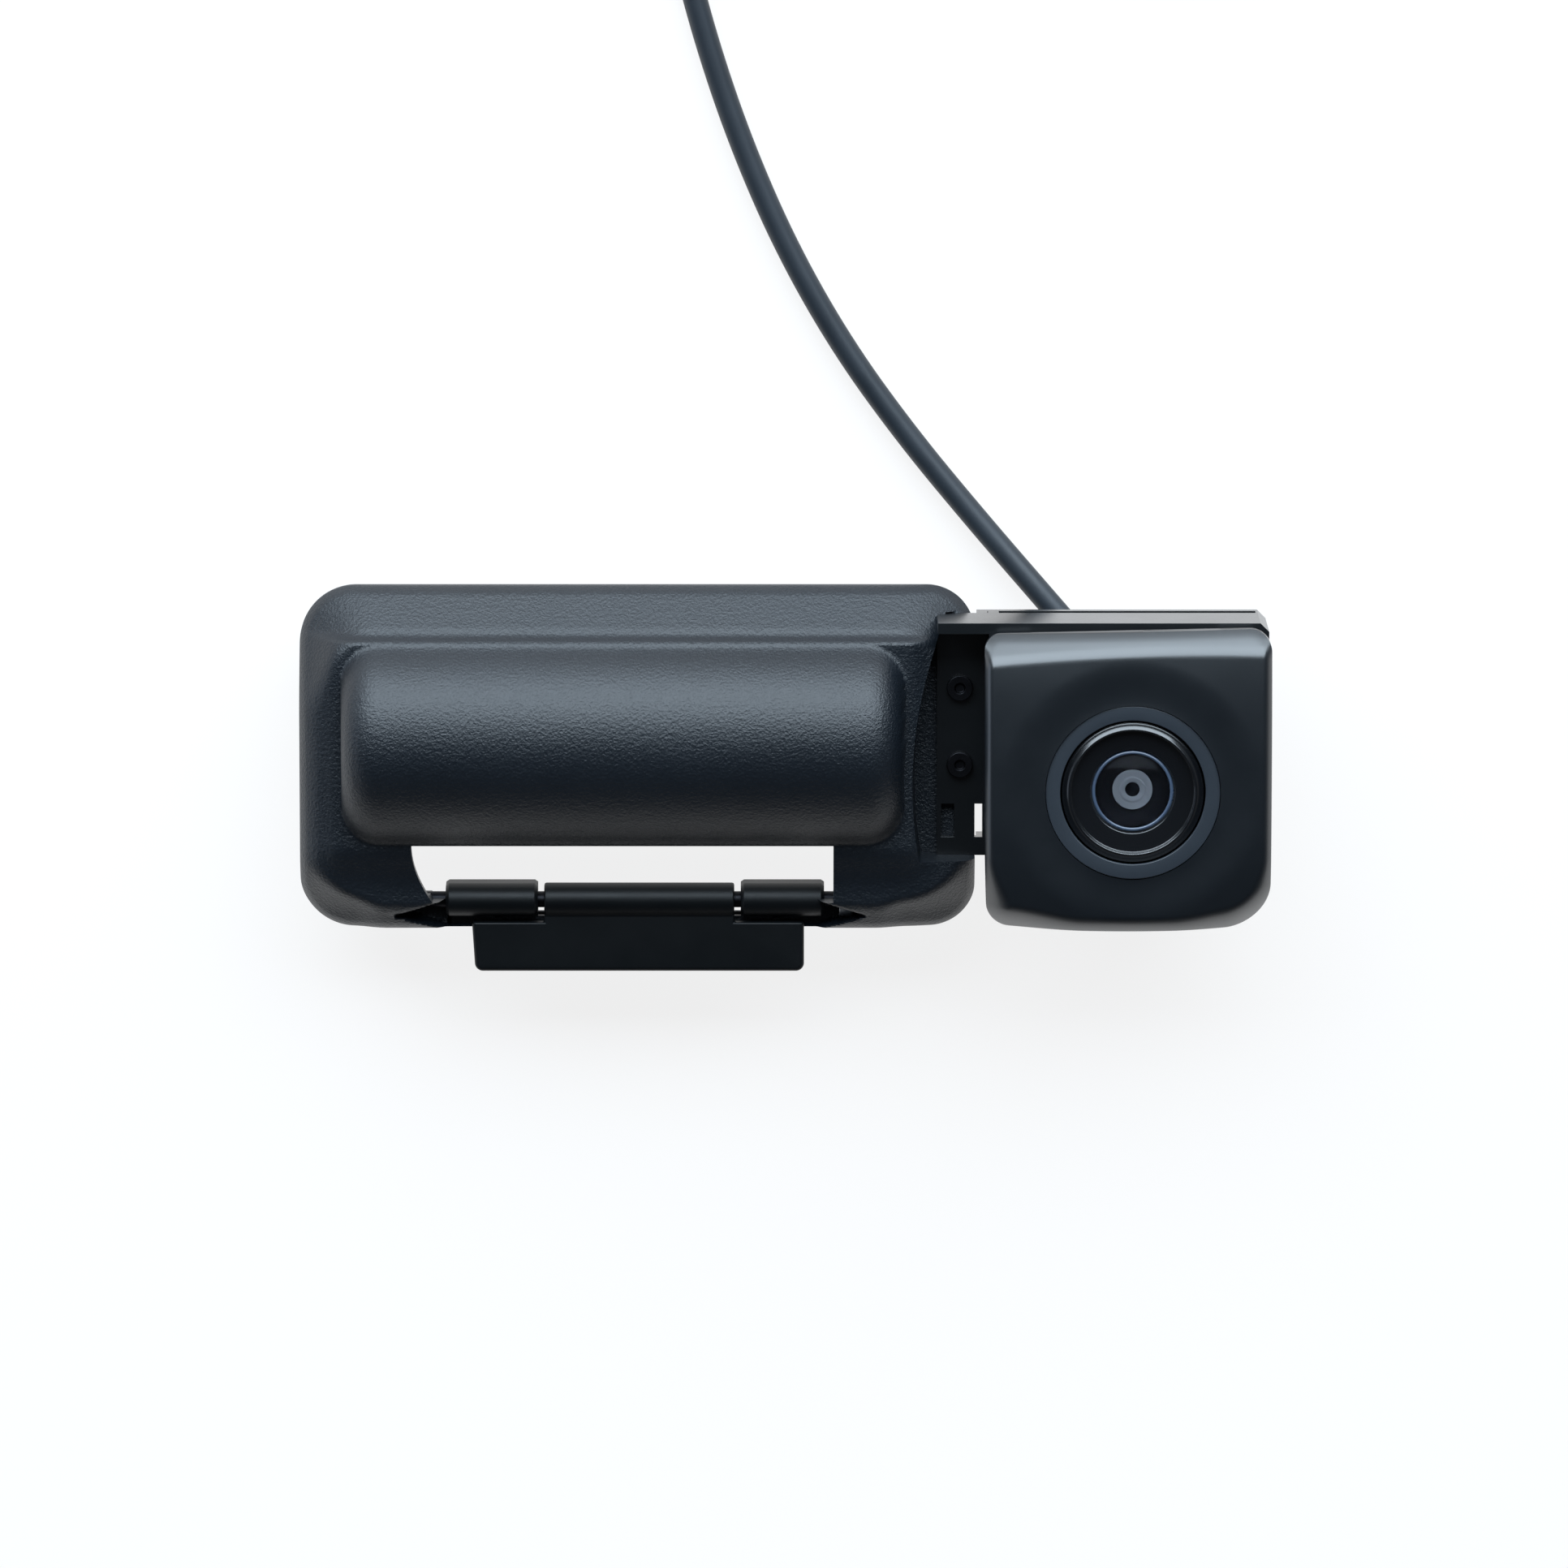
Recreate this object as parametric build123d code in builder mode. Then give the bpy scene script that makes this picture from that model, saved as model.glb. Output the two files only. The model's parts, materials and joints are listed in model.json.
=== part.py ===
"""Tailgate handle bezel with a tilting camera head beside it, in millimetres.

The part lies on its back: +Z is outboard, +Y is up when fitted to the door, +X is the camera end.
Z is zero at the ends of the mounting studs.  Each sub-part is one labelled solid or group of solids.
"""

from build123d import *
from math import pi, radians, sqrt, tan
import os

os.makedirs("parts", exist_ok=True)

# ---------------------------------------------------------------- fits and clearances
running_gap = 0.05  # radial, pin in a bore it turns in
face_gap = 0.05  # each side of a washer
panel_gap = 0.3  # between mouldings that sit side by side

# ---------------------------------------------------------------- door side
stud_length = 15.0  # below the door face
gasket_thickness = 1.5
gasket_width = 2.0
gasket_inset = 0.3
stud_radius = 2.5
stud_shank_radius = 2.1  # moulded into the bezel's boss
stud_collar_radius = 3.1
stud_collar_depth = 1.0
stud_collar_thickness = 2.0
stud_bury = 4.0
stud_pitch_x = 106.0
stud_pitch_y = 46.0

# ---------------------------------------------------------------- bezel
bezel_width = 124.5
bezel_height = 63.5
bezel_right = 35.2
bezel_low = -27.7
bezel_corner = 10.0
bezel_depth = 11.0
bezel_wall = 2.4
bezel_draft = 5.0
band_rise = 8.3  # the 45 degree band along the top
rim_edge = 2.0
roll_radius = 19.4
roll_left_margin = 7.9
roll_right_margin = 13.2
roll_axis_y = 7.75
roll_axis_drop = 4.9  # roll axis below the bezel face
roll_end_round = 5.0
boss_radius = 3.8

# ---------------------------------------------------------------- finger slot and hinge
slot_length = 77.7
slot_height = 11.0
slot_offset = -2.7  # slot centre from bezel centre
slot_top_y = -11.0
slot_lip_depth = 1.6
slot_left_curve = 4.0
notch_overrun = 4.2  # pointed ends beyond the slot
notch_floor = 2.0
pin_radius = 1.5
pin_axis_y = -22.5
pin_axis_z = 20.3
knuckle_radius = 3.1
left_knuckle_length = 17.0
right_knuckle_length = 15.4
moving_knuckle_length = 35.1
knuckle_gap = 1.2
rim_relief = 0.3  # rim wall to a turning knuckle
pin_overrun = 7.9  # pin end beyond the slot's left end
crank_offset = 1.1  # slot's right end to the crank
crank_room = 0.5  # each side of the crank, and the pin's end past it

# ---------------------------------------------------------------- release paddle
paddle_width = 61.4
paddle_low = -35.8
paddle_thickness = 2.6
paddle_top_gap = 1.0
paddle_corner = 1.5
bumper_thickness = 0.7
bumper_gap = 0.05  # bumper inside the rim strip it sits on
bumper_inset = 5.0
crank_thickness = 2.5
crank_eye_radius = 2.0
crank_eye_wall = 1.5
crank_reach_y = 10.5
crank_reach_z = 12.3
spring_bore_gap = 0.3  # spring to pin
spring_wire = 0.5
spring_turns = 3
spring_leg = 7.0
collar_length = 1.8
collar_wall = 1.5
collar_inset = 0.4  # collar from the pin's end, and spring from the collar

# ---------------------------------------------------------------- camera carrier
carrier_sheet = 2.0
tongue_overlap = 7.0  # carrier tongue over the bezel shelf
shelf_height = 3.2
hood_top_y = 30.9
carrier_low_y = -14.0
hood_depth = 17.9
cheek_low_y = -8.0
window_height = 6.2
window_top_y = -4.4
window_rib = 3.7
carrier_screw_radius = 1.25
carrier_screw_head = 2.4

# ---------------------------------------------------------------- camera head
head_width = 52.5
head_height = 55.0
head_low_y = -25.0
head_front_depth = 8.3
head_corner = 4.5
head_edge = 2.2
head_gap = 1.5  # bezel to head
rear_inset = 3.4  # rear body inside the front, each side
rear_inset_low = 6.0
rear_inset_high = 4.0
rear_shift = 0.3  # rear body towards +X
rear_corner = 3.0
rear_depth = 12.2
head_wall = 2.6
cover_thickness = 1.4
seal_thickness = 0.6
seal_low = 22.4
tilt_axis_y = 2.5
tilt_axis_z = 25.0
pivot_radius = 1.5
pivot_head_radius = 3.0
pivot_grip = 6.0
washer_radius = 3.6
washer_thickness = 0.7
cover_screw_radius = 1.1

# ---------------------------------------------------------------- lens and boards
lens_offset_x = 0.85  # lens axis from the head's middle
lens_offset_y = -1.65
trim_outer = 16.0
trim_inner = 13.3
dish_radius = 23.5
dish_depth = 1.6
front_lens_radius = 7.5
front_lens_rise = 2.2
lens_seal_wall = 0.8
barrel_gap = 0.1
barrel_wall = 1.3
retainer_gap = 0.2
pupil_radius = 1.65
board_thickness = 1.2
sensor_board_size = 26.0
main_board_side_gap = 4.75
main_board_height = 33.0
board_gap = 2.8
board_post_pitch = 21.0
board_screw_radius = 0.9
holder_size = 24.0
holder_ear_pitch = 31.0

# ---------------------------------------------------------------- cable
cable_diameter = 4.5
outlet_x = 76.0
outlet_y = -0.4
outlet_radius = 6.0
outlet_bore = 4.5
nozzle_radius = 4.2
nozzle_z = 7.0
nozzle_reach = 8.4
relief_length = 20.0
relief_tip_wall = 0.75
lead_radius = 1.8
coil_radius = 25.0
coil_x = 4.0
coil_y = 184.0
tie_thickness = 0.6
plug_radius = 4.4

# Centre line of the cable from inside the outlet nozzle to the coil, and on to the plug.
cable_route = [
    (73.1, 2.96, 7.0),
    (61.4, 16.6, 7.0),
    (49.5, 30.2, 5.2),
    (36.4, 45.1, 2.8),
    (22.9, 61.4, 2.3),
    (10.8, 78.2, 2.3),
    (0.4, 96.6, 2.3),
    (-8.0, 116.0, 2.3),
    (-14.6, 135.6, 2.3),
    (-19.4, 154.4, 2.4),
    (-22.2, 171.0, 2.6),
    (-23.3, 184.0, 2.9),
]
tail_route = [
    (31.5, 188.3, 6.6),
    (39.5, 176.6, 3.4),
    (48.5, 167.2, 4.4),
    (60.5, 162.8, 4.4),
]

# ---------------------------------------------------------------- worked-out places
door_z = stud_length
bezel_back = door_z + gasket_thickness
bezel_face = bezel_back + bezel_depth
bezel_left = bezel_right - bezel_width
bezel_high = bezel_low + bezel_height
bezel_mid_x = (bezel_left + bezel_right) / 2
bezel_mid_y = (bezel_low + bezel_high) / 2
roll_left = bezel_left + roll_left_margin
roll_length = bezel_width - roll_left_margin - roll_right_margin
roll_axis_z = bezel_face - roll_axis_drop
slot_mid_x = bezel_mid_x + slot_offset
slot_left = slot_mid_x - slot_length / 2
slot_right = slot_mid_x + slot_length / 2
slot_low_y = slot_top_y - slot_height
moving_left = slot_mid_x + 3.0 - moving_knuckle_length / 2
moving_right = moving_left + moving_knuckle_length
left_knuckle_x = moving_left - knuckle_gap - left_knuckle_length
right_knuckle_x = moving_right + knuckle_gap
right_knuckle_end = right_knuckle_x + right_knuckle_length
knuckle_low_y = pin_axis_y - knuckle_radius
knuckle_high_y = pin_axis_y + knuckle_radius
knuckle_floor_y = knuckle_low_y - rim_relief
crank_x = slot_right + crank_offset
pin_left = slot_left - pin_overrun
pin_right = crank_x + crank_thickness + crank_room
spring_inner = pin_radius + spring_bore_gap
collar_radius = pin_radius + collar_wall
notch_floor_z = bezel_back + notch_floor
paddle_rear_z = notch_floor_z + bumper_thickness
paddle_left = (moving_left + moving_right - paddle_width) / 2 - 0.25
stud_points = [
    (slot_mid_x + 0.75 + side * stud_pitch_x / 2, 3.5 + end * stud_pitch_y / 2)
    for side in (-1, 1)
    for end in (-1, 1)
]
stud_collar_z = bezel_back + stud_collar_depth
shelf_z = bezel_back + shelf_height
recess_left = bezel_right - tongue_overlap - 1.2
carrier_back = door_z + panel_gap
carrier_front = carrier_back + hood_depth
head_left = bezel_right + head_gap
head_mid_x = head_left + head_width / 2
head_right = head_left + head_width
rear_width = head_width - 2 * rear_inset
rear_left = head_mid_x + rear_shift - rear_width / 2
rear_right = rear_left + rear_width
washer_slot = washer_thickness + 2 * face_gap
cheek_left = rear_left - washer_slot - carrier_sheet
cheek_right = rear_right + washer_slot + carrier_sheet
housing_back = seal_low + seal_thickness
head_front_back = housing_back + rear_depth
head_face = head_front_back + head_front_depth
cover_back = seal_low - cover_thickness
rear_low_y = head_low_y + rear_inset_low
rear_high_y = head_low_y + head_height - rear_inset_high
rear_mid_x = (rear_left + rear_right) / 2
rear_mid_y = (rear_low_y + rear_high_y) / 2
rear_height = rear_high_y - rear_low_y
carrier_screw_points = [(bezel_right - 2.8, 17.3), (bezel_right - 2.8, 3.0)]
cover_screw_points = [
    (rear_mid_x + side * (rear_width / 2 - 3.4), rear_mid_y + end * (rear_height / 2 - 3.4))
    for side in (-1, 1)
    for end in (-1, 1)
]
outlet_screw_points = [(outlet_x, outlet_y - 9.0), (outlet_x, outlet_y + 9.0)]
lens_x = head_mid_x + lens_offset_x
lens_y = head_low_y + head_height / 2 + lens_offset_y
lens_seat = head_face - 4.0
lens_floor = lens_seat - 2.5
front_lens_curve = (front_lens_radius**2 + front_lens_rise**2) / (2 * front_lens_rise)
retainer_inner = front_lens_radius + retainer_gap
barrel_radius = front_lens_radius + lens_seal_wall - barrel_gap
barrel_bore = barrel_radius - barrel_wall
main_board_width = rear_width - 2 * head_wall - 2 * main_board_side_gap
sensor_board_z = 28.0
main_board_z = sensor_board_z - board_gap - board_thickness
post_points = [
    (lens_x + side * board_post_pitch / 2, lens_y + end * board_post_pitch / 2)
    for side in (-1, 1)
    for end in (-1, 1)
]
holder_screw_points = [(lens_x - holder_ear_pitch / 2, lens_y), (lens_x + holder_ear_pitch / 2, lens_y)]
holder_base_z = sensor_board_z + board_thickness
holder_deck_z = holder_base_z + 2.2


# ---------------------------------------------------------------- shared shapes
def slab(x_low, x_high, y_low, y_high, z_low, z_high, mode=Mode.ADD):
    """A straight block between two corners."""
    with Locations(((x_low + x_high) / 2, (y_low + y_high) / 2, (z_low + z_high) / 2)):
        Box(x_high - x_low, y_high - y_low, z_high - z_low, mode=mode)


def columns(points, radius, z_low, z_high, mode=Mode.ADD):
    """Upright cylinders at the given points."""
    with Locations(*[(x, y, (z_low + z_high) / 2) for x, y in points]):
        Cylinder(radius, z_high - z_low, mode=mode)


def crossbar(y, z, radius, x_low, x_high, mode=Mode.ADD):
    """A cylinder lying along X."""
    with Locations(((x_low + x_high) / 2, y, z)):
        Cylinder(radius, x_high - x_low, rotation=(0, 90, 0), mode=mode)


def write(builder, name):
    """Label one finished sub-part and write its STEP file."""
    builder.part.label = name
    export_step(builder.part, f"parts/{name}.step")


def roll_form(inset):
    """The half-round roll over the finger slot, shrunk by the wall for its hollow."""
    with BuildPart() as roll:
        crossbar(
            roll_axis_y, roll_axis_z, roll_radius - inset, roll_left + inset, roll_left + roll_length - inset
        )
        fillet(roll.edges().filter_by(GeomType.CIRCLE), radius=roll_end_round - inset)
        slab(
            roll_left - 1, roll_left + roll_length + 1, roll_axis_y - 30, roll_axis_y + 30,
            bezel_back - 30, bezel_back - inset, mode=Mode.SUBTRACT,
        )
    return roll.part


def bezel_form(inset):
    """The bezel's outer form, or its hollow when inset is the wall thickness."""
    back = bezel_back - inset
    face = bezel_face - inset
    low = bezel_low + inset
    high = bezel_high - inset
    slope = inset * (sqrt(2) - 1)
    crease = bezel_high - band_rise - slope
    with BuildPart() as form:
        with BuildSketch(Plane.YZ.offset(bezel_left)):
            with BuildLine():
                Polyline(
                    (low, back), (low, face - rim_edge), (low + rim_edge, face), (crease, face),
                    (high, bezel_face - band_rise - slope), (high, back), close=True,
                )
            make_face()
        extrude(amount=bezel_width)
        with BuildSketch(Plane.XY.offset(back)):
            with Locations((bezel_mid_x, bezel_mid_y)):
                RectangleRounded(bezel_width - 2 * inset, bezel_height - 2 * inset, bezel_corner - inset)
        extrude(amount=bezel_depth + 1, taper=bezel_draft, mode=Mode.INTERSECT)
        add(roll_form(inset))
    return form.part


# ---------------------------------------------------------------- bezel
with BuildPart() as bezel_hollow:
    add(bezel_form(bezel_wall))
    slab(
        recess_left - bezel_wall, bezel_right + 1, carrier_low_y - panel_gap - bezel_wall,
        hood_top_y + panel_gap + bezel_wall, 0, bezel_face + 30, mode=Mode.SUBTRACT,
    )
    slab(slot_left, slot_right + 0.3, bezel_low, slot_low_y + 4, 0, notch_floor_z, mode=Mode.SUBTRACT)

with BuildPart() as bezel_bosses:
    columns(stud_points, boss_radius, bezel_back, bezel_face)
    add(bezel_form(0), mode=Mode.INTERSECT)

with BuildPart() as mounting_studs:
    columns(stud_points, stud_radius, 0, door_z)
    columns(stud_points, stud_shank_radius, door_z, bezel_back + stud_bury)
    columns(stud_points, stud_collar_radius, stud_collar_z, stud_collar_z + stud_collar_thickness)
write(mounting_studs, "mounting_studs")

with BuildPart() as handle_bezel:
    add(bezel_form(0))
    add(bezel_hollow.part, mode=Mode.SUBTRACT)
    add(bezel_bosses.part)
    # Recess in the right end for the carrier tongue, above the shelf.
    slab(
        recess_left, bezel_right + 1, carrier_low_y - panel_gap, hood_top_y + panel_gap,
        shelf_z, bezel_face + 30, mode=Mode.SUBTRACT,
    )
    # Finger slot with a curved left end.
    with BuildSketch(Plane.XY):
        with BuildLine():
            Polyline(
                (slot_left, slot_top_y), (slot_right, slot_top_y), (slot_right, slot_low_y),
                (slot_left + slot_left_curve, slot_low_y),
            )
            RadiusArc((slot_left + slot_left_curve, slot_low_y), (slot_left, slot_top_y), 2.2 * slot_height)
        make_face()
    extrude(amount=bezel_face + 30, mode=Mode.SUBTRACT)
    # Opening behind the roll's lower lip, for the fingers.
    slab(
        slot_left, slot_right, slot_top_y - 1, slot_top_y + bezel_wall + 0.6,
        bezel_back - 1, bezel_face - slot_lip_depth, mode=Mode.SUBTRACT,
    )
    # Scooped notch in the lower rim, pointed at both ends.
    with BuildSketch(Plane.XY.offset(notch_floor_z)):
        with BuildLine():
            tip_y = (slot_low_y + bezel_low) / 2
            Polyline(
                (slot_left - notch_overrun + 1.5, tip_y), (slot_left + 3, slot_low_y + 0.6),
                (slot_right - 3, slot_low_y + 0.6), (slot_right + notch_overrun + 1.5, tip_y),
                (slot_right - 0.5, bezel_low - 1), (slot_left + 4, bezel_low - 1), close=True,
            )
        make_face()
    extrude(amount=bezel_depth + 10, mode=Mode.SUBTRACT)
    # Through opening for the turning knuckle, then the two fixed knuckles.
    slab(
        moving_left - knuckle_gap, moving_right + knuckle_gap, knuckle_floor_y,
        knuckle_high_y + 4, 0, bezel_face + 10, mode=Mode.SUBTRACT,
    )
    slab(left_knuckle_x, moving_left - knuckle_gap, knuckle_floor_y, knuckle_high_y, bezel_back, pin_axis_z)
    crossbar(pin_axis_y, pin_axis_z, knuckle_radius, left_knuckle_x, moving_left - knuckle_gap)
    slab(right_knuckle_x, right_knuckle_end, knuckle_floor_y, knuckle_high_y, bezel_back, pin_axis_z)
    crossbar(pin_axis_y, pin_axis_z, knuckle_radius, right_knuckle_x, right_knuckle_end)
    # Room for the crank right of the slot, for the spring left of it, and the pin bores.
    slab(
        crank_x - crank_room, pin_right + crank_room, knuckle_floor_y, knuckle_high_y + 1,
        bezel_back - 1, bezel_face - bezel_wall, mode=Mode.SUBTRACT,
    )
    slab(
        pin_left - panel_gap, slot_left - 2 * panel_gap, knuckle_floor_y, knuckle_high_y + 1,
        bezel_back - 1, bezel_face - bezel_wall, mode=Mode.SUBTRACT,
    )
    crossbar(
        pin_axis_y, pin_axis_z, pin_radius + running_gap, pin_left - 1.1, pin_right + 2 * crank_room,
        mode=Mode.SUBTRACT,
    )
    columns(carrier_screw_points, carrier_screw_radius, bezel_back + 0.4, shelf_z, mode=Mode.SUBTRACT)
    add(mounting_studs.part, mode=Mode.SUBTRACT)
write(handle_bezel, "handle_bezel")

with BuildPart() as bezel_gasket:
    with BuildSketch(Plane.XY.offset(door_z)):
        with Locations((bezel_mid_x, bezel_mid_y)):
            outer = gasket_inset
            inner = gasket_inset + gasket_width
            RectangleRounded(bezel_width - 2 * outer, bezel_height - 2 * outer, bezel_corner - outer)
            RectangleRounded(
                bezel_width - 2 * inner, bezel_height - 2 * inner, bezel_corner - inner, mode=Mode.SUBTRACT
            )
    extrude(amount=gasket_thickness)
write(bezel_gasket, "bezel_gasket")

# ---------------------------------------------------------------- release paddle and its hinge
with BuildPart() as hinge_pin:
    crossbar(pin_axis_y, pin_axis_z, pin_radius, pin_left, pin_right)
write(hinge_pin, "hinge_pin")

with BuildPart() as release_paddle:
    plate_top = pin_axis_y - knuckle_radius - paddle_top_gap
    with BuildSketch(Plane.XY.offset(paddle_rear_z)):
        with BuildLine():
            Polyline(
                (paddle_left, plate_top), (paddle_left + paddle_width, plate_top),
                (paddle_left + paddle_width, paddle_low), (paddle_left + 0.6, paddle_low), close=True,
            )
        make_face()
    extrude(amount=paddle_thickness)
    fillet(
        release_paddle.edges().filter_by(Axis.Z).group_by(Axis.Y)[0], radius=paddle_corner
    )
    fillet(release_paddle.faces().sort_by(Axis.Y)[0].edges().sort_by(Axis.Z)[-1], radius=0.8)
    slab(
        moving_left, moving_right, plate_top - 0.5, pin_axis_y,
        paddle_rear_z, paddle_rear_z + paddle_thickness,
    )
    crossbar(pin_axis_y, pin_axis_z, knuckle_radius, moving_left, moving_right)
    crossbar(pin_axis_y, pin_axis_z, pin_radius, moving_left - 1, moving_right + 1, mode=Mode.SUBTRACT)
write(release_paddle, "release_paddle")

with BuildPart() as paddle_bumpers:
    bumper_y = (bezel_low + knuckle_floor_y) / 2
    bumper_radius = (knuckle_floor_y - bezel_low) / 2 - bumper_gap
    bumper_points = [
        (paddle_left + bumper_inset, bumper_y),
        (paddle_left + paddle_width - bumper_inset, bumper_y),
    ]
    columns(bumper_points, bumper_radius, notch_floor_z, paddle_rear_z)
write(paddle_bumpers, "paddle_bumpers")

with BuildPart() as release_crank:
    eye_y = pin_axis_y + crank_reach_y
    eye_z = pin_axis_z - crank_reach_z
    with BuildSketch(Plane.YZ.offset(crank_x)):
        with Locations((pin_axis_y, pin_axis_z)):
            Circle(knuckle_radius)
        with Locations((eye_y, eye_z)):
            Circle(crank_eye_radius + crank_eye_wall)
        make_hull()
        with Locations((pin_axis_y, pin_axis_z)):
            Circle(pin_radius, mode=Mode.SUBTRACT)
        with Locations((eye_y, eye_z)):
            Circle(crank_eye_radius, mode=Mode.SUBTRACT)
    extrude(amount=crank_thickness)
write(release_crank, "release_crank")

with BuildPart() as spring_collar:
    collar_x = pin_left + collar_inset
    crossbar(pin_axis_y, pin_axis_z, collar_radius, collar_x, collar_x + collar_length)
    crossbar(pin_axis_y, pin_axis_z, pin_radius, pin_left, pin_left + 5, mode=Mode.SUBTRACT)
write(spring_collar, "spring_collar")

with BuildPart() as paddle_spring:
    spring_start = pin_left + 2 * collar_inset + collar_length
    spring_pitch = 2 * spring_wire + 0.02
    wire_x = [spring_start + spring_wire + turn * spring_pitch for turn in range(spring_turns)]
    for x in wire_x:
        with Locations((x, pin_axis_y, pin_axis_z)):
            Torus(spring_inner + spring_wire, spring_wire + 0.02, rotation=(0, 90, 0))
    leg_z = pin_axis_z + spring_inner + spring_wire
    with Locations((wire_x[-1], pin_axis_y + spring_leg / 2, leg_z)):
        Cylinder(spring_wire, spring_leg, rotation=(90, 0, 0))
write(paddle_spring, "paddle_spring")

# ---------------------------------------------------------------- camera carrier
with BuildPart() as camera_carrier:
    tongue_left = recess_left + 1.2
    step_left = bezel_right + panel_gap
    hood_low_y = hood_top_y - carrier_sheet
    slab(tongue_left, step_left + carrier_sheet, carrier_low_y, hood_low_y, shelf_z, shelf_z + carrier_sheet)
    slab(tongue_left, cheek_right, hood_low_y, hood_top_y, shelf_z, carrier_front)
    slab(step_left, cheek_right, carrier_low_y, hood_top_y, carrier_back, carrier_back + carrier_sheet)
    step_right = step_left + carrier_sheet
    slab(step_left, step_right, carrier_low_y, hood_top_y, carrier_back, shelf_z + carrier_sheet)
    slab(cheek_left, cheek_left + carrier_sheet, cheek_low_y, hood_top_y, carrier_back, carrier_front)
    slab(cheek_right - carrier_sheet, cheek_right, cheek_low_y, hood_top_y, carrier_back, carrier_front)
    chamfer(
        camera_carrier.edges().filter_by(Axis.Z).group_by(Axis.Y)[-1].sort_by(Axis.X)[-1], length=1.6
    )
    # Window beside the head, with its rib and the pocket left of it.
    window_right = head_left - 0.1
    slab(
        bezel_right - 0.1, window_right, window_top_y - window_height, window_top_y,
        0, carrier_front, mode=Mode.SUBTRACT,
    )
    slab(
        tongue_left + 0.8, bezel_right - 0.1 - window_rib, window_top_y - window_height, window_top_y,
        0, carrier_front, mode=Mode.SUBTRACT,
    )
    columns(carrier_screw_points, carrier_screw_radius + 0.15, shelf_z - 1, shelf_z + 3, mode=Mode.SUBTRACT)
    columns([(outlet_x, outlet_y)], outlet_bore, 0, carrier_back + 4, mode=Mode.SUBTRACT)
    columns(outlet_screw_points, 1.0, 0, carrier_back + 4, mode=Mode.SUBTRACT)
    # Pivot bores with a countersink on the outside of each cheek.
    crossbar(
        tilt_axis_y, tilt_axis_z, pivot_radius + running_gap, cheek_left - 1, cheek_right + 1,
        mode=Mode.SUBTRACT,
    )
    sink = pivot_head_radius - pivot_radius
    for face_x, turn in ((cheek_left, 90), (cheek_right, -90)):
        with Locations((face_x + (sink / 2 if turn > 0 else -sink / 2), tilt_axis_y, tilt_axis_z)):
            Cone(
                pivot_head_radius + 0.15, pivot_radius + 0.15, sink, rotation=(0, turn, 0),
                mode=Mode.SUBTRACT,
            )
write(camera_carrier, "camera_carrier")

with BuildPart() as carrier_screws:
    columns(carrier_screw_points, carrier_screw_radius, bezel_back + 0.6, shelf_z + carrier_sheet)
    head_low = shelf_z + carrier_sheet
    columns(carrier_screw_points, carrier_screw_head, head_low, head_low + 1.4)
    columns(carrier_screw_points, 0.9, head_low + 0.7, head_low + 1.4, mode=Mode.SUBTRACT)
write(carrier_screws, "carrier_screws")

with BuildPart() as pivot_washers:
    for x in (rear_left - face_gap - washer_thickness, rear_right + face_gap):
        crossbar(tilt_axis_y, tilt_axis_z, washer_radius, x, x + washer_thickness)
    crossbar(
        tilt_axis_y, tilt_axis_z, pivot_radius + running_gap, cheek_left, cheek_right, mode=Mode.SUBTRACT
    )
write(pivot_washers, "pivot_washers")

with BuildPart() as pivot_screws:
    crossbar(tilt_axis_y, tilt_axis_z, pivot_radius, cheek_left, rear_left + pivot_grip)
    crossbar(tilt_axis_y, tilt_axis_z, pivot_radius, rear_right - pivot_grip, cheek_right)
    for face_x, turn in ((cheek_left, 90), (cheek_right, -90)):
        with Locations((face_x + (sink / 2 if turn > 0 else -sink / 2), tilt_axis_y, tilt_axis_z)):
            Cone(pivot_head_radius, pivot_radius, sink, rotation=(0, turn, 0))
        with Locations((face_x, tilt_axis_y, tilt_axis_z)):
            Cylinder(0.9, 1.4, rotation=(0, 90, 0), mode=Mode.SUBTRACT)
write(pivot_screws, "pivot_screws")

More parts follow.
